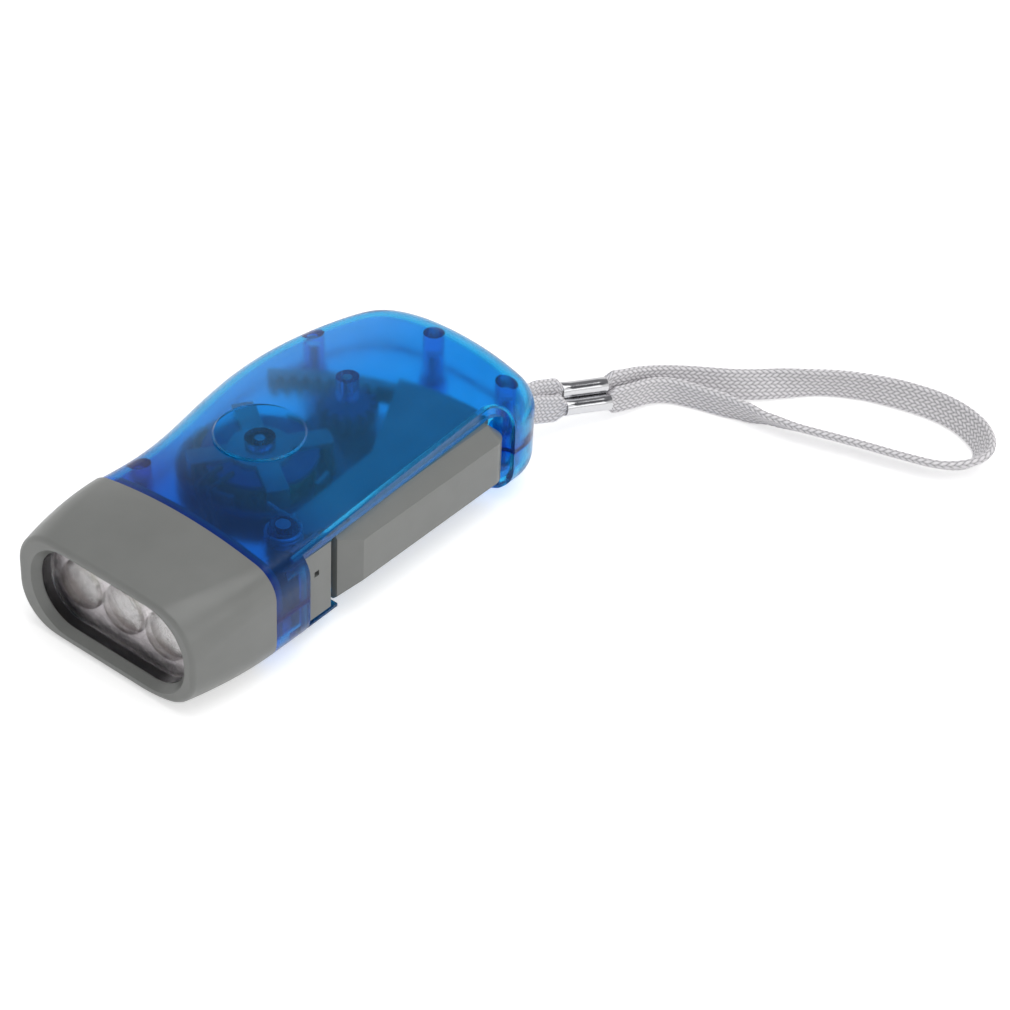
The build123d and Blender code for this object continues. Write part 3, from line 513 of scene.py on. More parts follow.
def new_material(name):
    """An empty node material and its tree, shader and output."""
    made = bpy.data.materials.new(name)
    made.use_nodes = True
    tree = made.node_tree
    tree.nodes.clear()
    shader = tree.nodes.new("ShaderNodeBsdfPrincipled")
    output = tree.nodes.new("ShaderNodeOutputMaterial")
    tree.links.new(shader.outputs["BSDF"], output.inputs["Surface"])
    return made, tree, shader, output


def mixed_shader(tree, factor, first, second):
    """The output of a Mix Shader."""
    return node(tree, "ShaderNodeMixShader", {0: factor, 1: first, 2: second}).outputs["Shader"]


def light_passes(tree, shader, output, tint):
    """Lets lamp light through a clear material as a tint."""
    clear = node(tree, "ShaderNodeBsdfTransparent", {"Color": rgba(tint)}).outputs["BSDF"]
    shadow = node(tree, "ShaderNodeLightPath").outputs["Is Shadow Ray"]
    tree.links.new(mixed_shader(tree, shadow, shader.outputs["BSDF"], clear), output.inputs["Surface"])


def set_values(shader, **values):
    """Sets the shader's own sockets; underscores stand for spaces in their names."""
    for key, value in values.items():
        shader.inputs[key.replace("_", " ")].default_value = value


def plastic(name, colour):
    """Moulded plastic: mottled colour, uneven gloss and a fine grain, as the table of surfaces says."""
    depth, rough, scale, strength, height = SURFACES[name]
    made, tree, shader, output = new_material(name)
    paint = use(tree, mottle_group(), Color=rgba(colour), Scale=MOTTLE_SCALE, Depth=depth)
    grain = use(tree, grain_group(), Scale=scale, Strength=strength, Height=height)
    gloss = rough_range(tree, grain.outputs["Mask"], *rough)
    finish_shader(tree, shader, paint.outputs["Color"], gloss, grain.outputs["Normal"])
    return made


def metal(name, colour):
    """Plain metal with an uneven polish, as the table of surfaces says."""
    made = plastic(name, colour)
    made.node_tree.nodes["Principled BSDF"].inputs["Metallic"].default_value = 1.0
    return made


def paint_nodes(names, material):
    """Puts a material in every slot of those CAD nodes."""
    for name in names:
        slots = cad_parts[name].material_slots
        if not slots:
            raise RuntimeError(f"{name} has no material slot")
        for slot in slots:
            slot.material = material


# Wrist strap


def spline_points(route, steps):
    """Points read from the NURBS spline that the route's points control."""
    curve = bpy.data.curves.new("strap_route", "CURVE")
    curve.dimensions = "3D"
    curve.resolution_u = steps
    spline = curve.splines.new("NURBS")
    spline.points.add(len(route) - 1)
    for point, place in zip(spline.points, route):
        point.co = (*place, 1.0)
    spline.order_u = 3
    spline.use_endpoint_u = True
    spline.resolution_u = steps
    carrier = bpy.data.objects.new("strap_route", curve)
    bpy.context.collection.objects.link(carrier)
    line = bpy.data.meshes.new_from_object(carrier)
    points = [vertex.co.copy() for vertex in line.vertices]
    bpy.data.objects.remove(carrier)
    bpy.data.curves.remove(curve)
    bpy.data.meshes.remove(line)
    return points


def distances(points):
    """Length along the line to each point."""
    along = [0.0]
    for first, second in zip(points, points[1:]):
        along.append(along[-1] + (second - first).length)
    return along


def nearest_length(points, along, place):
    """Length along the line to the point nearest to a place."""
    best = min(range(len(points)), key=lambda number: (points[number] - place).length)
    return along[best]


def squeeze_at(length, centres, half, ease):
    """How much the clip squeezes the braid there, from 0 to 1."""
    away = min(abs(length - centre) for centre in centres)
    return 1.0 - smoothstep((away - half) / ease)


def outline_point(share, width, thickness):
    """A point and its outward direction on the braid's rounded flat section, at a share of its girth."""
    flat = width - thickness
    radius = thickness / 2
    arc = math.pi * radius
    girth = 2 * flat + 2 * arc
    at = (share % 1.0) * girth
    if at < flat:
        return flat / 2 - at, radius, 0.0, 1.0
    at -= flat
    if at < arc:
        turn = at / radius
        return -flat / 2 - radius * math.sin(turn), radius * math.cos(turn), -math.sin(turn), math.cos(turn)
    at -= arc
    if at < flat:
        return at - flat / 2, -radius, 0.0, -1.0
    turn = (at - flat) / radius
    return flat / 2 + radius * math.sin(turn), -radius * math.cos(turn), math.sin(turn), -math.cos(turn)


def yarn_height(across, along):
    """Height of one yarn that goes over two and under two, with its crossings."""
    side = 2.0 * (across % 1.0) - 1.0
    crown = math.sqrt(max(0.0, 1.0 - side * side))
    wave = math.sin(math.pi / 2 * (along + math.floor(across)))
    return YARN_WAVE * wave + YARN_CROWN * crown


def braid_height(length, share, yarns, stitch):
    """Height of the braid's surface over its ground, about -0.3 to 1.3."""
    first = yarns * share + length / stitch
    second = yarns * share - length / stitch
    return max(yarn_height(first, second), yarn_height(second, first + YARN_SHIFT))


def braid_rows(points, along, strap, centres, half):
    """Rows of points round the braid, one row at each point of its line."""
    rows = []
    total = along[-1]
    last = len(points) - 1
    for number, point in enumerate(points):
        tangent = (points[min(number + 1, last)] - points[max(number - 1, 0)]).normalized()
        level = tangent.cross(Vector((0.0, 0.0, 1.0))).normalized()
        upright = level.cross(tangent).normalized()
        lean = math.radians(eased(STRAP_LEAN, along[number] / total))
        broad = upright * math.cos(lean) + level * math.sin(lean)
        thin = tangent.cross(broad).normalized()
        pinch = squeeze_at(along[number], centres, half, strap.pinch_run)
        width = strap.width + (strap.pinch_width - strap.width) * pinch
        thickness = strap.thickness + (strap.pinch_thickness - strap.thickness) * pinch
        row = []
        for step in range(strap.around):
            share = step / strap.around
            wide, deep, out_wide, out_deep = outline_point(share, width, thickness)
            height = braid_height(along[number], share, strap.yarns, strap.stitch)
            rise = strap.relief * (height - YARN_MIDDLE)
            wide += out_wide * rise
            deep += out_deep * rise
            row.append(point + broad * wide + thin * deep)
        rows.append(row)
    return rows


def braid_mesh(rows, along, around):
    """A closed mesh over the rows, with UV in millimetres along the braid and shares of its girth."""
    mesh = bpy.data.meshes.new("wrist_strap_braid")
    points = [tuple(place) for row in rows for place in row]
    faces = []
    spots = []
    for number in range(len(rows) - 1):
        for step in range(around):
            beside = (step + 1) % around
            low = number * around
            high = low + around
            faces.append((low + step, low + beside, high + beside, high + step))
            spots.append((number, step))
    faces.append(tuple(reversed(range(around))))
    faces.append(tuple(range(len(points) - around, len(points))))
    mesh.from_pydata(points, [], faces)
    layer = mesh.uv_layers.new(name="UVMap")
    corner = 0
    for number, step in spots:
        for row, share in ((number, step), (number, step + 1), (number + 1, step + 1), (number + 1, step)):
            layer.data[corner].uv = (along[row] * UV_PER_METRE, share / around)
            corner += 1
    mesh.validate()
    return mesh


def braid_material(strap):
    """Woven polyester: pale yarns with a painted highlight on their crowns, painted shade at the grey
    crossings, and fine filaments.
    """
    made, tree, shader, output = new_material("braid")
    uv = node(tree, "ShaderNodeTexCoord").outputs["UV"]
    split = node(tree, "ShaderNodeSeparateXYZ", {"Vector": uv})
    turns = math_node(tree, "MULTIPLY", split.outputs["Y"], float(strap.yarns))
    rate = math_node(tree, "MULTIPLY", split.outputs["X"], 1.0 / (UV_PER_METRE * strap.stitch))
    first = math_node(tree, "ADD", turns, rate)
    second = math_node(tree, "SUBTRACT", turns, rate)
    crowns = []
    for across, beside in ((first, second), (second, math_node(tree, "ADD", first, YARN_SHIFT))):
        floor = math_node(tree, "FLOOR", across)
        phase = math_node(tree, "MULTIPLY", math_node(tree, "ADD", beside, floor), math.pi / 2)
        wave = math_node(tree, "MULTIPLY", math_node(tree, "SINE", phase), YARN_WAVE)
        doubled = math_node(tree, "MULTIPLY", math_node(tree, "FRACT", across), 2.0)
        part = math_node(tree, "SUBTRACT", doubled, 1.0)
        round_off = math_node(tree, "SUBTRACT", 1.0, math_node(tree, "MULTIPLY", part, part))
        crown = math_node(tree, "SQRT", math_node(tree, "MAXIMUM", round_off, 0.0))
        crowns.append(math_node(tree, "ADD", wave, math_node(tree, "MULTIPLY", crown, YARN_CROWN)))
    height = math_node(tree, "MAXIMUM", crowns[0], crowns[1])
    stretch = node(tree, "ShaderNodeMapping", {"Vector": uv, "Scale": (1.4, 190.0, 1.0)})
    threads = noised(tree, stretch.outputs["Vector"], scale=2.0, detail=3.0)
    # Painted shade at the crossings and painted highlight on the crowns, by the yarns' height
    yarn = mixed(tree, ranged(tree, height, 0.45, 1.25), YARN_CROSSING_SHADE, YARN_PALE_AND_HIGHLIGHT)
    colour = scaled(tree, yarn, ranged(tree, threads, 0.0, 1.0, first=0.78, last=1.16))
    normal = bumped(tree, threads, strength=0.5, distance=0.00004)
    tree.links.new(colour, shader.inputs["Base Color"])
    tree.links.new(normal, shader.inputs["Normal"])
    set_values(shader, Roughness=0.5, Sheen_Weight=0.25, Sheen_Roughness=0.4, Specular_IOR_Level=0.4)
    return made


class FLASHLIGHT_OT_strap(bpy.types.Operator):
    """Lay the braided wrist strap along its route"""

    bl_idname = "flashlight.strap"
    bl_label = "Wrist Strap"

    def execute(self, context):
        strap = context.scene.flashlight_strap
        clip = context.scene.flashlight_clip
        points = spline_points(STRAP_ROUTE, strap.steps)
        along = distances(points)
        centres = [nearest_length(points, along, clip_centre(run_ends)) for run_ends in CLIP_RUNS]
        rows = braid_rows(points, along, strap, centres, clip.length / 2 - clip.mouth)
        band = bpy.data.objects.new("strap_braid", braid_mesh(rows, along, strap.around))
        context.collection.objects.link(band)
        for face in band.data.polygons:
            face.use_smooth = True
        band.data.materials.append(braid_material(strap))
        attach(band, "housing")
        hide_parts("wrist_strap")
        context.scene["strap_length"] = along[-1]
        context.scene["strap_path"] = [value for point in points for value in point]
        return {"FINISHED"}


# Strap clip


def clip_centre(ends):
    """Middle of the run that a barrel sits on."""
    return (Vector(STRAP_ROUTE[ends[0]]) + Vector(STRAP_ROUTE[ends[1]])) / 2


def barrel(clip):
    """One folded barrel of the clip, at the origin along Z, with its ends a little flared."""
    bpy.ops.object.select_all(action="DESELECT")
    run(
        bpy.ops.mesh.primitive_cylinder_add,
        vertices=BARREL_SIDES,
        radius=0.5,
        depth=clip.length,
        end_fill_type="NOTHING",
    )
    made = bpy.context.object
    made.name = "clip"
    made.scale = (clip.across - clip.sheet, clip.height - clip.sheet, 1.0)
    run(bpy.ops.object.transform_apply, location=False, rotation=False, scale=True)
    run(bpy.ops.object.editmode_toggle)
    run(bpy.ops.mesh.select_all, action="SELECT")
    run(bpy.ops.mesh.subdivide, number_cuts=BARREL_CUTS)
    run(bpy.ops.mesh.select_all, action="DESELECT")
    run(bpy.ops.object.editmode_toggle)
    points = made.data.vertices
    for edge in made.data.edges:
        edge.select = all(abs(points[number].co.z) > clip.length * BARREL_END for number in edge.vertices)
    run(bpy.ops.object.editmode_toggle)
    run(bpy.ops.transform.resize, value=(clip.flare, clip.flare, 1.0), center_override=(0.0, 0.0, 0.0))
    run(bpy.ops.object.editmode_toggle)
    wall = made.modifiers.new("sheet", "SOLIDIFY")
    wall.thickness = clip.sheet
    wall.offset = 0.0
    run(bpy.ops.object.modifier_apply, modifier=wall.name)
    edge = made.modifiers.new("edge", "BEVEL")
    edge.width = clip.sheet * BARREL_EDGE
    edge.segments = 2
    edge.limit_method = "ANGLE"
    edge.angle_limit = math.radians(50)
    run(bpy.ops.object.modifier_apply, modifier=edge.name)
    return made


def put_on_run(made, ends):
    """Turns a barrel along its run and moves it there."""
    centre = clip_centre(ends)
    axis = (Vector(STRAP_ROUTE[ends[1]]) - Vector(STRAP_ROUTE[ends[0]])).normalized()
    other = CLIP_RUNS[0] if ends == CLIP_RUNS[1] else CLIP_RUNS[1]
    between = clip_centre(other) - centre
    height = (between - axis * between.dot(axis)).normalized()
    side = height.cross(axis)
    turn = Matrix((side, height, axis)).transposed().to_4x4()
    made.matrix_world = Matrix.Translation(centre) @ turn


class FLASHLIGHT_OT_clip(bpy.types.Operator):
    """Fold the two-barrel strap clip round the strands"""

    bl_idname = "flashlight.clip"
    bl_label = "Strap Clip"

    def execute(self, context):
        first = barrel(context.scene.flashlight_clip)
        second = first.copy()
        second.data = first.data.copy()
        context.collection.objects.link(second)
        bpy.ops.object.select_all(action="DESELECT")
        for made, ends in zip((first, second), CLIP_RUNS):
            put_on_run(made, ends)
            made.select_set(True)
        context.view_layer.objects.active = first
        run(bpy.ops.object.transform_apply, location=True, rotation=True, scale=True)
        run(bpy.ops.object.join)
        piece = context.object
        run(bpy.ops.object.editmode_toggle)
        run(bpy.ops.mesh.select_all, action="SELECT")
        run(bpy.ops.mesh.remove_doubles, threshold=0.000001)
        run(bpy.ops.mesh.normals_make_consistent, inside=False)
        run(bpy.ops.object.editmode_toggle)
        run(bpy.ops.object.shade_smooth_by_angle, angle=math.radians(35))
        piece.data.materials.append(chrome_material())
        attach(piece, "housing")
        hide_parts("strap_clip")
        return {"FINISHED"}


def chrome_material():
    """Bright nickel plate over drawn sheet: fine streaks along the barrels."""
    made, tree, shader, output = new_material("clip_chrome")
    along = node(tree, "ShaderNodeMapping", {"Vector": object_place(tree), "Scale": (300.0, 5000.0, 5000.0)})
    along.inputs["Rotation"].default_value = (0.0, 0.14, math.radians(-25))
    streaks = noised(tree, along.outputs["Vector"], scale=1.0, detail=3.0)
    colour = mixed(tree, streaks, CHROME_DULL, CHROME_BRIGHT)
    gloss = rough_range(tree, streaks, low=0.06, high=0.14)
    normal = bumped(tree, streaks, strength=0.25, distance=0.00001)
    finish_shader(tree, shader, colour, gloss, normal)
    set_values(shader, Metallic=1.0)
    return made


# Finishes of the CAD nodes


def edge_shade_mask(tree):
    """Painted shade where light runs a long way inside the plastic: a deeper blue at the shells' parting
    line and at their edge at the head.
    """
    axes = object_axes(tree)
    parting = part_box("lower_shell")[1][2]
    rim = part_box("upper_shell")[1][0]
    off = math_node(tree, "ABSOLUTE", math_node(tree, "SUBTRACT", axes["Z"], parting))
    seam = ranged(tree, off, SEAM_SHADE_LINE[0], SEAM_SHADE_LINE[1], first=1.0, last=0.0)
    end = ranged(tree, axes["X"], rim - RIM_SHADE_LINE[0], rim - RIM_SHADE_LINE[1])
    return math_node(tree, "MAXIMUM", seam, end)


def front_mask(tree):
    """From 0 at the generator to 1 near the head, where the plastic is thicker and its colour deeper."""
    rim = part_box("upper_shell")[1][0]
    return ranged(tree, object_axes(tree)["X"], rim - DEEP_FRONT[0], rim - DEEP_FRONT[1])


def blue_material(finish):
    """Frosted translucent blue plastic that lets the inside show as blurred shapes."""
    made, tree, shader, output = new_material("blue_clear")
    paint = use(tree, mottle_group(), Color=rgba(finish.tint), Scale=110.0, Depth=0.06)
    grain = use(tree, grain_group(), Scale=1500.0, Strength=0.22, Height=0.00003)
    body = mixed(tree, front_mask(tree), paint.outputs["Color"], rgba(finish.deep))
    # Painted shade: deeper blue at the parting line and at the edge at the head
    colour = mixed(tree, edge_shade_mask(tree), body, EDGE_SHADE_BLUE)
    depth = node(tree, "ShaderNodeVolumeAbsorption", {"Color": rgba(finish.blue), "Density": finish.density})
    tree.links.new(depth.outputs["Volume"], output.inputs["Volume"])
    frost = rough_range(tree, grain.outputs["Mask"], finish.frost * 0.8, finish.frost * 1.2)
    finish_shader(tree, shader, colour, frost, grain.outputs["Normal"])
    set_values(shader, Transmission_Weight=0.96, IOR=1.35)
    light_passes(tree, shader, output, [math.sqrt(value) for value in finish.tint])
    return made


class FLASHLIGHT_OT_housing(bpy.types.Operator):
    """Give the two shells their frosted blue plastic and the screws their steel"""

    bl_idname = "flashlight.housing"
    bl_label = "Housing Finish"

    def execute(self, context):
        finish = context.scene.flashlight_finish
        paint_nodes(["upper_shell", "lower_shell"], blue_material(finish))
        screws = metal("screw_steel", (0.52, 0.52, 0.53))
        paint_nodes(["housing_screws", "bridge_screws"], screws)
        return {"FINISHED"}


def recess_shade_and_gloss_mask(tree):
    """Where the head's mouth is sunk round the lens plate, which gets painted shade and more gloss."""
    low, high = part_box("lens_plate")
    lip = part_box("head_bezel")[1][0] - RECESS_LIP
    axes = object_axes(tree)
    inside = math_node(tree, "LESS_THAN", axes["X"], lip)
    for axis, least, most in (("Y", low[1], high[1]), ("Z", low[2], high[2])):
        above = math_node(tree, "GREATER_THAN", axes[axis], least + RECESS_MARGIN)
        below = math_node(tree, "LESS_THAN", axes[axis], most - RECESS_MARGIN)
        inside = math_node(tree, "MULTIPLY", inside, math_node(tree, "MULTIPLY", above, below))
    return inside


def head_material(finish):
    """Grey plastic of the head; its recess round the lens plate is glossier and painted near black as shade.
    """
    made = plastic("grey_head", finish.grey)
    tree = made.node_tree
    shader = tree.nodes["Principled BSDF"]
    mask = recess_shade_and_gloss_mask(tree)
    colour = shader.inputs["Base Color"].links[0].from_socket
    gloss = shader.inputs["Roughness"].links[0].from_socket
    # Painted shade: the recess goes near black
    tree.links.new(mixed(tree, mask, colour, RECESS_SHADE_BLACK), shader.inputs["Base Color"])
    smooth = ranged(tree, mask, 0.0, 1.0, first=1.0, last=0.4)
    tree.links.new(math_node(tree, "MULTIPLY", gloss, smooth), shader.inputs["Roughness"])
    return made


class FLASHLIGHT_OT_grey(bpy.types.Operator):
    """Give the head, lever, rack and slider their matt grey plastic"""

    bl_idname = "flashlight.grey"
    bl_label = "Grey Finish"

    def execute(self, context):
        finish = context.scene.flashlight_finish
        grey = plastic("grey_abs", finish.grey)
        paint_nodes(["squeeze_lever", "sector_rack", "lock_slider"], grey)
        paint_nodes(["head_bezel"], head_material(finish))
        return {"FINISHED"}


def lens_material():
    """Clear polished acrylic with a faint moulding flow."""
    made, tree, shader, output = new_material("clear_lens")
    grain = use(tree, grain_group(), Scale=300.0, Strength=0.12, Height=0.00003)
    paint = use(tree, mottle_group(), Color=LENS_CLEAR, Scale=90.0, Depth=0.01)
    gloss = rough_range(tree, grain.outputs["Mask"], low=0.01, high=0.03)
    finish_shader(tree, shader, paint.outputs["Color"], gloss, grain.outputs["Normal"])
    set_values(shader, Transmission_Weight=1.0, IOR=1.35, Alpha=0.42)
    light_passes(tree, shader, output, (0.97, 0.98, 1.0))
    return made


def reflector_material():
    """Vacuum-metallised bowls with hammered facets and painted shade along the seams between them."""
    made, tree, shader, output = new_material("mirror_coat")
    pattern = {"Vector": object_place(tree), "Scale": 800.0}
    cells = node(tree, "ShaderNodeTexVoronoi", pattern, feature="F1").outputs["Distance"]
    edges = node(tree, "ShaderNodeTexVoronoi", pattern, feature="DISTANCE_TO_EDGE").outputs["Distance"]
    # Painted shade: darker at the facets' seams
    colour = mixed(tree, ranged(tree, edges, 0.0, 0.12), COAT_SEAM_SHADE, COAT_FACET)
    gloss = rough_range(tree, cells, low=0.28, high=0.4)
    normal = bumped(tree, cells, strength=0.35, distance=0.0004)
    finish_shader(tree, shader, colour, gloss, normal)
    set_values(shader, Metallic=1.0)
    return made


def epoxy_material():
    """Clear epoxy of the diodes."""
    made, tree, shader, output = new_material("led_epoxy")
    paint = use(tree, mottle_group(), Color=EPOXY_CLEAR, Scale=250.0, Depth=0.03)
    grain = use(tree, grain_group(), Scale=900.0, Strength=0.1, Height=0.00002)
    gloss = rough_range(tree, grain.outputs["Mask"], low=0.05, high=0.12)
    finish_shader(tree, shader, paint.outputs["Color"], gloss, grain.outputs["Normal"])
    set_values(shader, Transmission_Weight=0.35, IOR=1.53)
    light_passes(tree, shader, output, (0.9, 0.88, 0.78))
    return made


def board_material():
    """Green solder resist over faint copper tracks."""
    made, tree, shader, output = new_material("board_green")
    pattern = {"Vector": object_place(tree), "Scale": 260.0, "Randomness": 0.6}
    tracks = node(tree, "ShaderNodeTexVoronoi", pattern, feature="DISTANCE_TO_EDGE")
    mask = ranged(tree, tracks.outputs["Distance"], 0.05, 0.09)
    colour = mixed(tree, mask, BOARD_TRACK, BOARD_GREEN)
    gloss = rough_range(tree, mask, low=0.25, high=0.32)
    normal = bumped(tree, mask, strength=0.3, distance=0.00005)
    finish_shader(tree, shader, colour, gloss, normal)
    return made


class FLASHLIGHT_OT_light_unit(bpy.types.Operator):
    """Finish the lens plate, reflector, diodes, board and what is on it"""

    bl_idname = "flashlight.light_unit"
    bl_label = "Light Unit Finish"

    def execute(self, context):
        paint_nodes(["lens_plate"], lens_material())
        paint_nodes(["reflector"], reflector_material())
        paint_nodes(["leds"], epoxy_material())
        paint_nodes(["circuit_board"], board_material())
        paint_nodes(["diodes", "capacitor"], plastic("black_part", (0.025, 0.025, 0.028)))
        paint_nodes(["lead_wires"], plastic("wire_insulation", (0.55, 0.05, 0.04)))
        return {"FINISHED"}


def winding_material():
    """Enamelled copper wire wound in level turns round the bobbin, with painted shade in the grooves between
    turns.
    """
    made, tree, shader, output = new_material("copper")
    noise = noised(tree, object_place(tree), scale=300.0)
    wander = math_node(tree, "MULTIPLY", noise, WIRE_WANDER)
    level = math_node(tree, "ADD", object_axes(tree)["Z"], wander)
    turns = math_node(tree, "SINE", math_node(tree, "MULTIPLY", level, 2 * math.pi / WIRE_PITCH))
    # Painted shade: darker in the grooves between turns
    colour = mixed(tree, ranged(tree, turns, -1.0, 1.0), WIRE_GROOVE_SHADE, WIRE_CROWN)
    gloss = rough_range(tree, noise, low=0.2, high=0.35)
    normal = bumped(tree, turns, strength=0.7, distance=0.00006)
    finish_shader(tree, shader, colour, gloss, normal)
    set_values(shader, Metallic=0.9)
    return made


class FLASHLIGHT_OT_drive(bpy.types.Operator):
    """Finish the generator, the gears, shafts, pin and spring"""

    bl_idname = "flashlight.drive"
    bl_label = "Drive Finish"

    def execute(self, context):
        steel = metal("steel", (0.58, 0.58, 0.58))
        paint_nodes(["rotor_shaft", "compound_shaft", "input_shaft"], steel)
        paint_nodes(["clutch_rollers", "pivot_pin", "return_spring"], steel)
        paint_nodes(["stator_yoke_top", "stator_yoke_bottom"], metal("yoke_iron", (0.42, 0.42, 0.43)))
        paint_nodes(["coil_winding"], winding_material())
        paint_nodes(["ring_magnet"], plastic("magnet_black", (0.035, 0.038, 0.08)))
        paint_nodes(["flywheel"], plastic("flywheel_black", (0.022, 0.028, 0.08)))
        acetal = plastic("dark_acetal", (0.035, 0.045, 0.14))
        paint_nodes(["coil_bobbin", "rotor_pinion", "gear_bridge"], acetal)
        paint_nodes(["compound_gear", "drive_wheel", "input_pinion"], acetal)
        return {"FINISHED"}


# Studio


def any_ray(tree, path, names):
    """1 for the rays of any of those kinds."""
    seen = path.outputs[names[0]]
    for name in names[1:]:
        seen = math_node(tree, "ADD", seen, path.outputs[name], clamp=True)
    return seen


def floor_material():
    """Pale floor that reads as white and keeps the shadow, and is plain white behind clear plastic."""
    made = bpy.data.materials.new("floor")
    made.use_nodes = True
    tree = made.node_tree
    tree.nodes.clear()
    output = tree.nodes.new("ShaderNodeOutputMaterial")
    lit = node(tree, "ShaderNodeBsdfDiffuse", {"Color": FLOOR_GREY}).outputs["BSDF"]
    glow = node(tree, "ShaderNodeEmission", {"Color": WHITE, "Strength": FLOOR_GLOW}).outputs["Emission"]
    white = node(tree, "ShaderNodeEmission", {"Color": WHITE, "Strength": 1.0}).outputs["Emission"]
    both = node(tree, "ShaderNodeAddShader", {0: lit, 1: glow}).outputs["Shader"]
    path = node(tree, "ShaderNodeLightPath")
    seen = any_ray(tree, path, ("Is Camera Ray", "Is Glossy Ray"))
    shown = mixed_shader(tree, seen, lit, both)
    mix = mixed_shader(tree, path.outputs["Is Transmission Ray"], shown, white)
    tree.links.new(mix, output.inputs["Surface"])
    return made


def add_floor(size):
    """The studio floor under the object."""
    bpy.ops.object.select_all(action="DESELECT")
    run(bpy.ops.mesh.primitive_plane_add, size=size, location=(0.0, 0.0, FLOOR_LEVEL))
    floor = bpy.context.object
    floor.name = "studio_floor"
    floor.data.materials.append(floor_material())


def add_world(strength, dark_side):
    """Even light, and for the camera, gloss and glass a white room, dim above and darker on one side."""
    world = bpy.data.worlds.new("studio_sky")
    bpy.context.scene.world = world
    world.use_nodes = True
    tree = world.node_tree
    tree.nodes.clear()
    output = tree.nodes.new("ShaderNodeOutputWorld")
    path = node(tree, "ShaderNodeLightPath")
    seen = any_ray(tree, path, ("Is Camera Ray", "Is Glossy Ray", "Is Transmission Ray"))
    soft = node(tree, "ShaderNodeBackground", {"Color": WHITE, "Strength": strength}).outputs["Background"]
    way = node(tree, "ShaderNodeTexCoord").outputs["Generated"]
    height = node(tree, "ShaderNodeSeparateXYZ", {"Vector": way}).outputs["Z"]
    beside = node(tree, "ShaderNodeVectorMath", {0: way, 1: tuple(dark_side)}, operation="DOT_PRODUCT")
    above = mixed(tree, ranged(tree, beside.outputs["Value"], *DARK_RANGE), CEILING_GREY, CEILING_DARK)
    shade = mixed(tree, ranged(tree, height, *CEILING_RANGE), WHITE, above)
    room = node(tree, "ShaderNodeBackground", {"Color": shade, "Strength": 1.0}).outputs["Background"]
    tree.links.new(mixed_shader(tree, seen, soft, room), output.inputs["Surface"])


def add_lamp(name, place, size, power):
    """A square soft lamp that looks at the object."""
    data = bpy.data.lights.new(name, "AREA")
    data.shape = "SQUARE"
    data.size = size
    data.energy = power
    lamp = bpy.data.objects.new(name, data)
    bpy.context.collection.objects.link(lamp)
    lamp.location = place
    lamp.rotation_euler = (Vector(LAMP_AIM) - Vector(place)).to_track_quat("-Z", "Y").to_euler()


def camera_axes(stage):
    """The camera's right, up and back directions."""
    turn = stage.azimuth
    rise = stage.elevation
    back = Vector((math.sin(turn) * math.cos(rise), -math.cos(turn) * math.cos(rise), math.sin(rise)))
    right = Vector((math.cos(turn), math.sin(turn), 0.0))
    upward = back.cross(right)
    return right, upward, back


def add_camera(stage):
    """The camera at the photograph's angle."""
    right, upward, back = camera_axes(stage)
    place = Vector(stage.target) + right * stage.offset[0] + upward * stage.offset[1] + back * stage.distance
    rolled_right = right * math.cos(stage.roll) + upward * math.sin(stage.roll)
    rolled_up = upward * math.cos(stage.roll) - right * math.sin(stage.roll)
    data = bpy.data.cameras.new("photo_camera")
    data.sensor_width = SENSOR
    data.lens = stage.lens
    data.clip_start = 0.01
    data.clip_end = 50.0
    camera = bpy.data.objects.new("photo_camera", data)
    bpy.context.collection.objects.link(camera)
    turn = Matrix((rolled_right, rolled_up, back)).transposed().to_4x4()
    camera.matrix_world = Matrix.Translation(place) @ turn
    bpy.context.scene.camera = camera


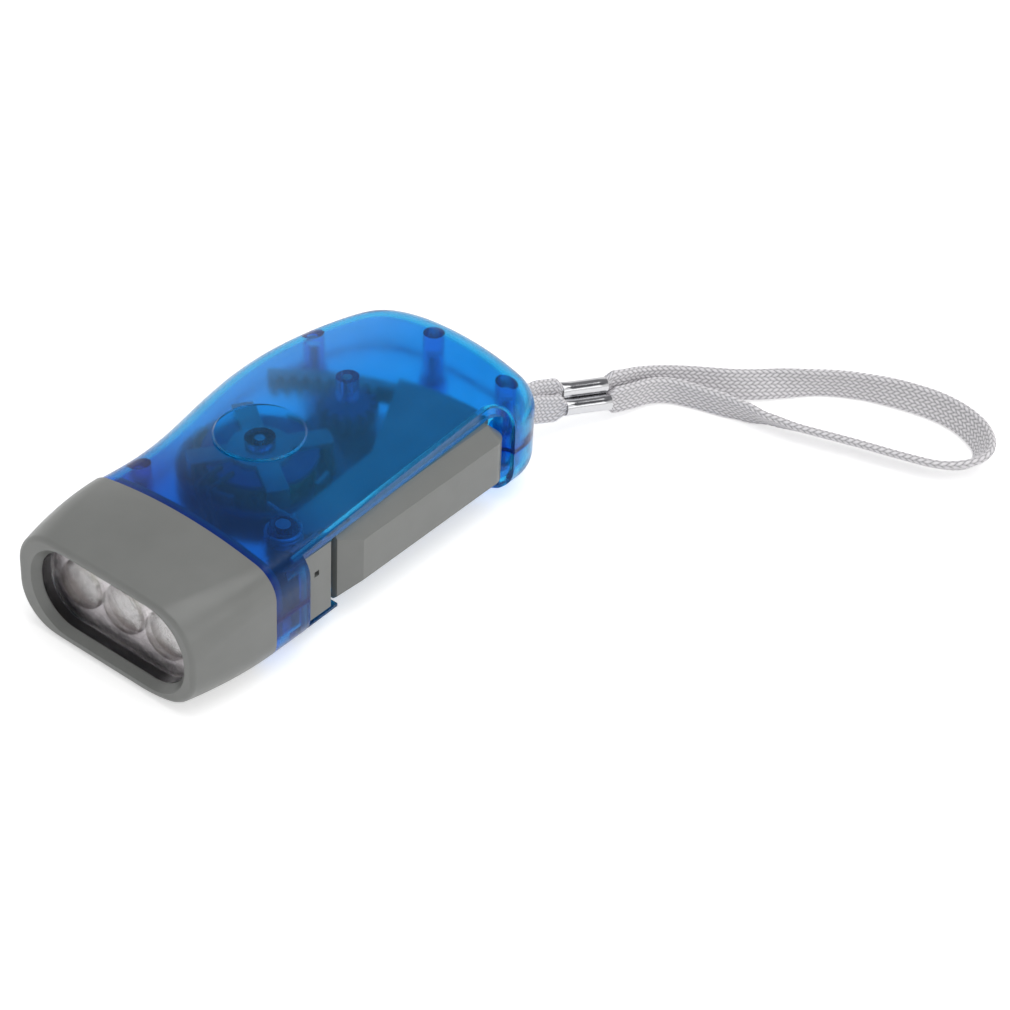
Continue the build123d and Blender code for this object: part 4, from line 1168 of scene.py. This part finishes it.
class FLASHLIGHT_OT_stage(bpy.types.Operator):
    """Set up the floor, the sky, the lamps and the camera"""

    bl_idname = "flashlight.stage"
    bl_label = "Studio"

    def execute(self, context):
        stage = context.scene.flashlight_stage
        context.scene.view_settings.view_transform = "Standard"
        add_floor(stage.floor_size)
        right, upward, back = camera_axes(stage)
        level = Vector((back.x, back.y, 0.0)).normalized()
        add_world(stage.sky, level)
        high = Vector((0.0, 0.0, 1.0))
        for name, place, size, power in LAMPS:
            add_lamp(name, right * place[0] + level * place[1] + high * place[2], size, power)
        add_camera(stage)
        return {"FINISHED"}


PIECES = (
    FLASHLIGHT_OT_strap,
    FLASHLIGHT_OT_clip,
    FLASHLIGHT_OT_housing,
    FLASHLIGHT_OT_grey,
    FLASHLIGHT_OT_light_unit,
    FLASHLIGHT_OT_drive,
    FLASHLIGHT_OT_stage,
)


class FLASHLIGHT_PT_panel(bpy.types.Panel):
    """Lists the flashlight's steps in the sidebar"""

    bl_idname = "FLASHLIGHT_PT_panel"
    bl_label = "Dynamo Flashlight"
    bl_space_type = "VIEW_3D"
    bl_region_type = "UI"
    bl_category = "Flashlight"

    def draw(self, context):
        for piece in PIECES:
            self.layout.operator(piece.bl_idname)


SETTINGS = {
    "flashlight_strap": StrapSettings,
    "flashlight_clip": ClipSettings,
    "flashlight_finish": FinishSettings,
    "flashlight_stage": StageSettings,
}


def register():
    """Registers the settings, the operators and the panel."""
    for name, settings in SETTINGS.items():
        bpy.utils.register_class(settings)
        setattr(bpy.types.Scene, name, bpy.props.PointerProperty(type=settings))
    for piece in PIECES:
        bpy.utils.register_class(piece)
    bpy.utils.register_class(FLASHLIGHT_PT_panel)


def unregister():
    """Takes back what register did."""
    bpy.utils.unregister_class(FLASHLIGHT_PT_panel)
    for piece in reversed(PIECES):
        bpy.utils.unregister_class(piece)
    for name, settings in SETTINGS.items():
        delattr(bpy.types.Scene, name)
        bpy.utils.unregister_class(settings)


def main():
    """Builds everything."""
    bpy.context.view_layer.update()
    register()
    for step in (
        bpy.ops.flashlight.strap,
        bpy.ops.flashlight.clip,
        bpy.ops.flashlight.housing,
        bpy.ops.flashlight.grey,
        bpy.ops.flashlight.light_unit,
        bpy.ops.flashlight.drive,
        bpy.ops.flashlight.stage,
    ):
        run(step)


if __name__ == "__main__":
    main()
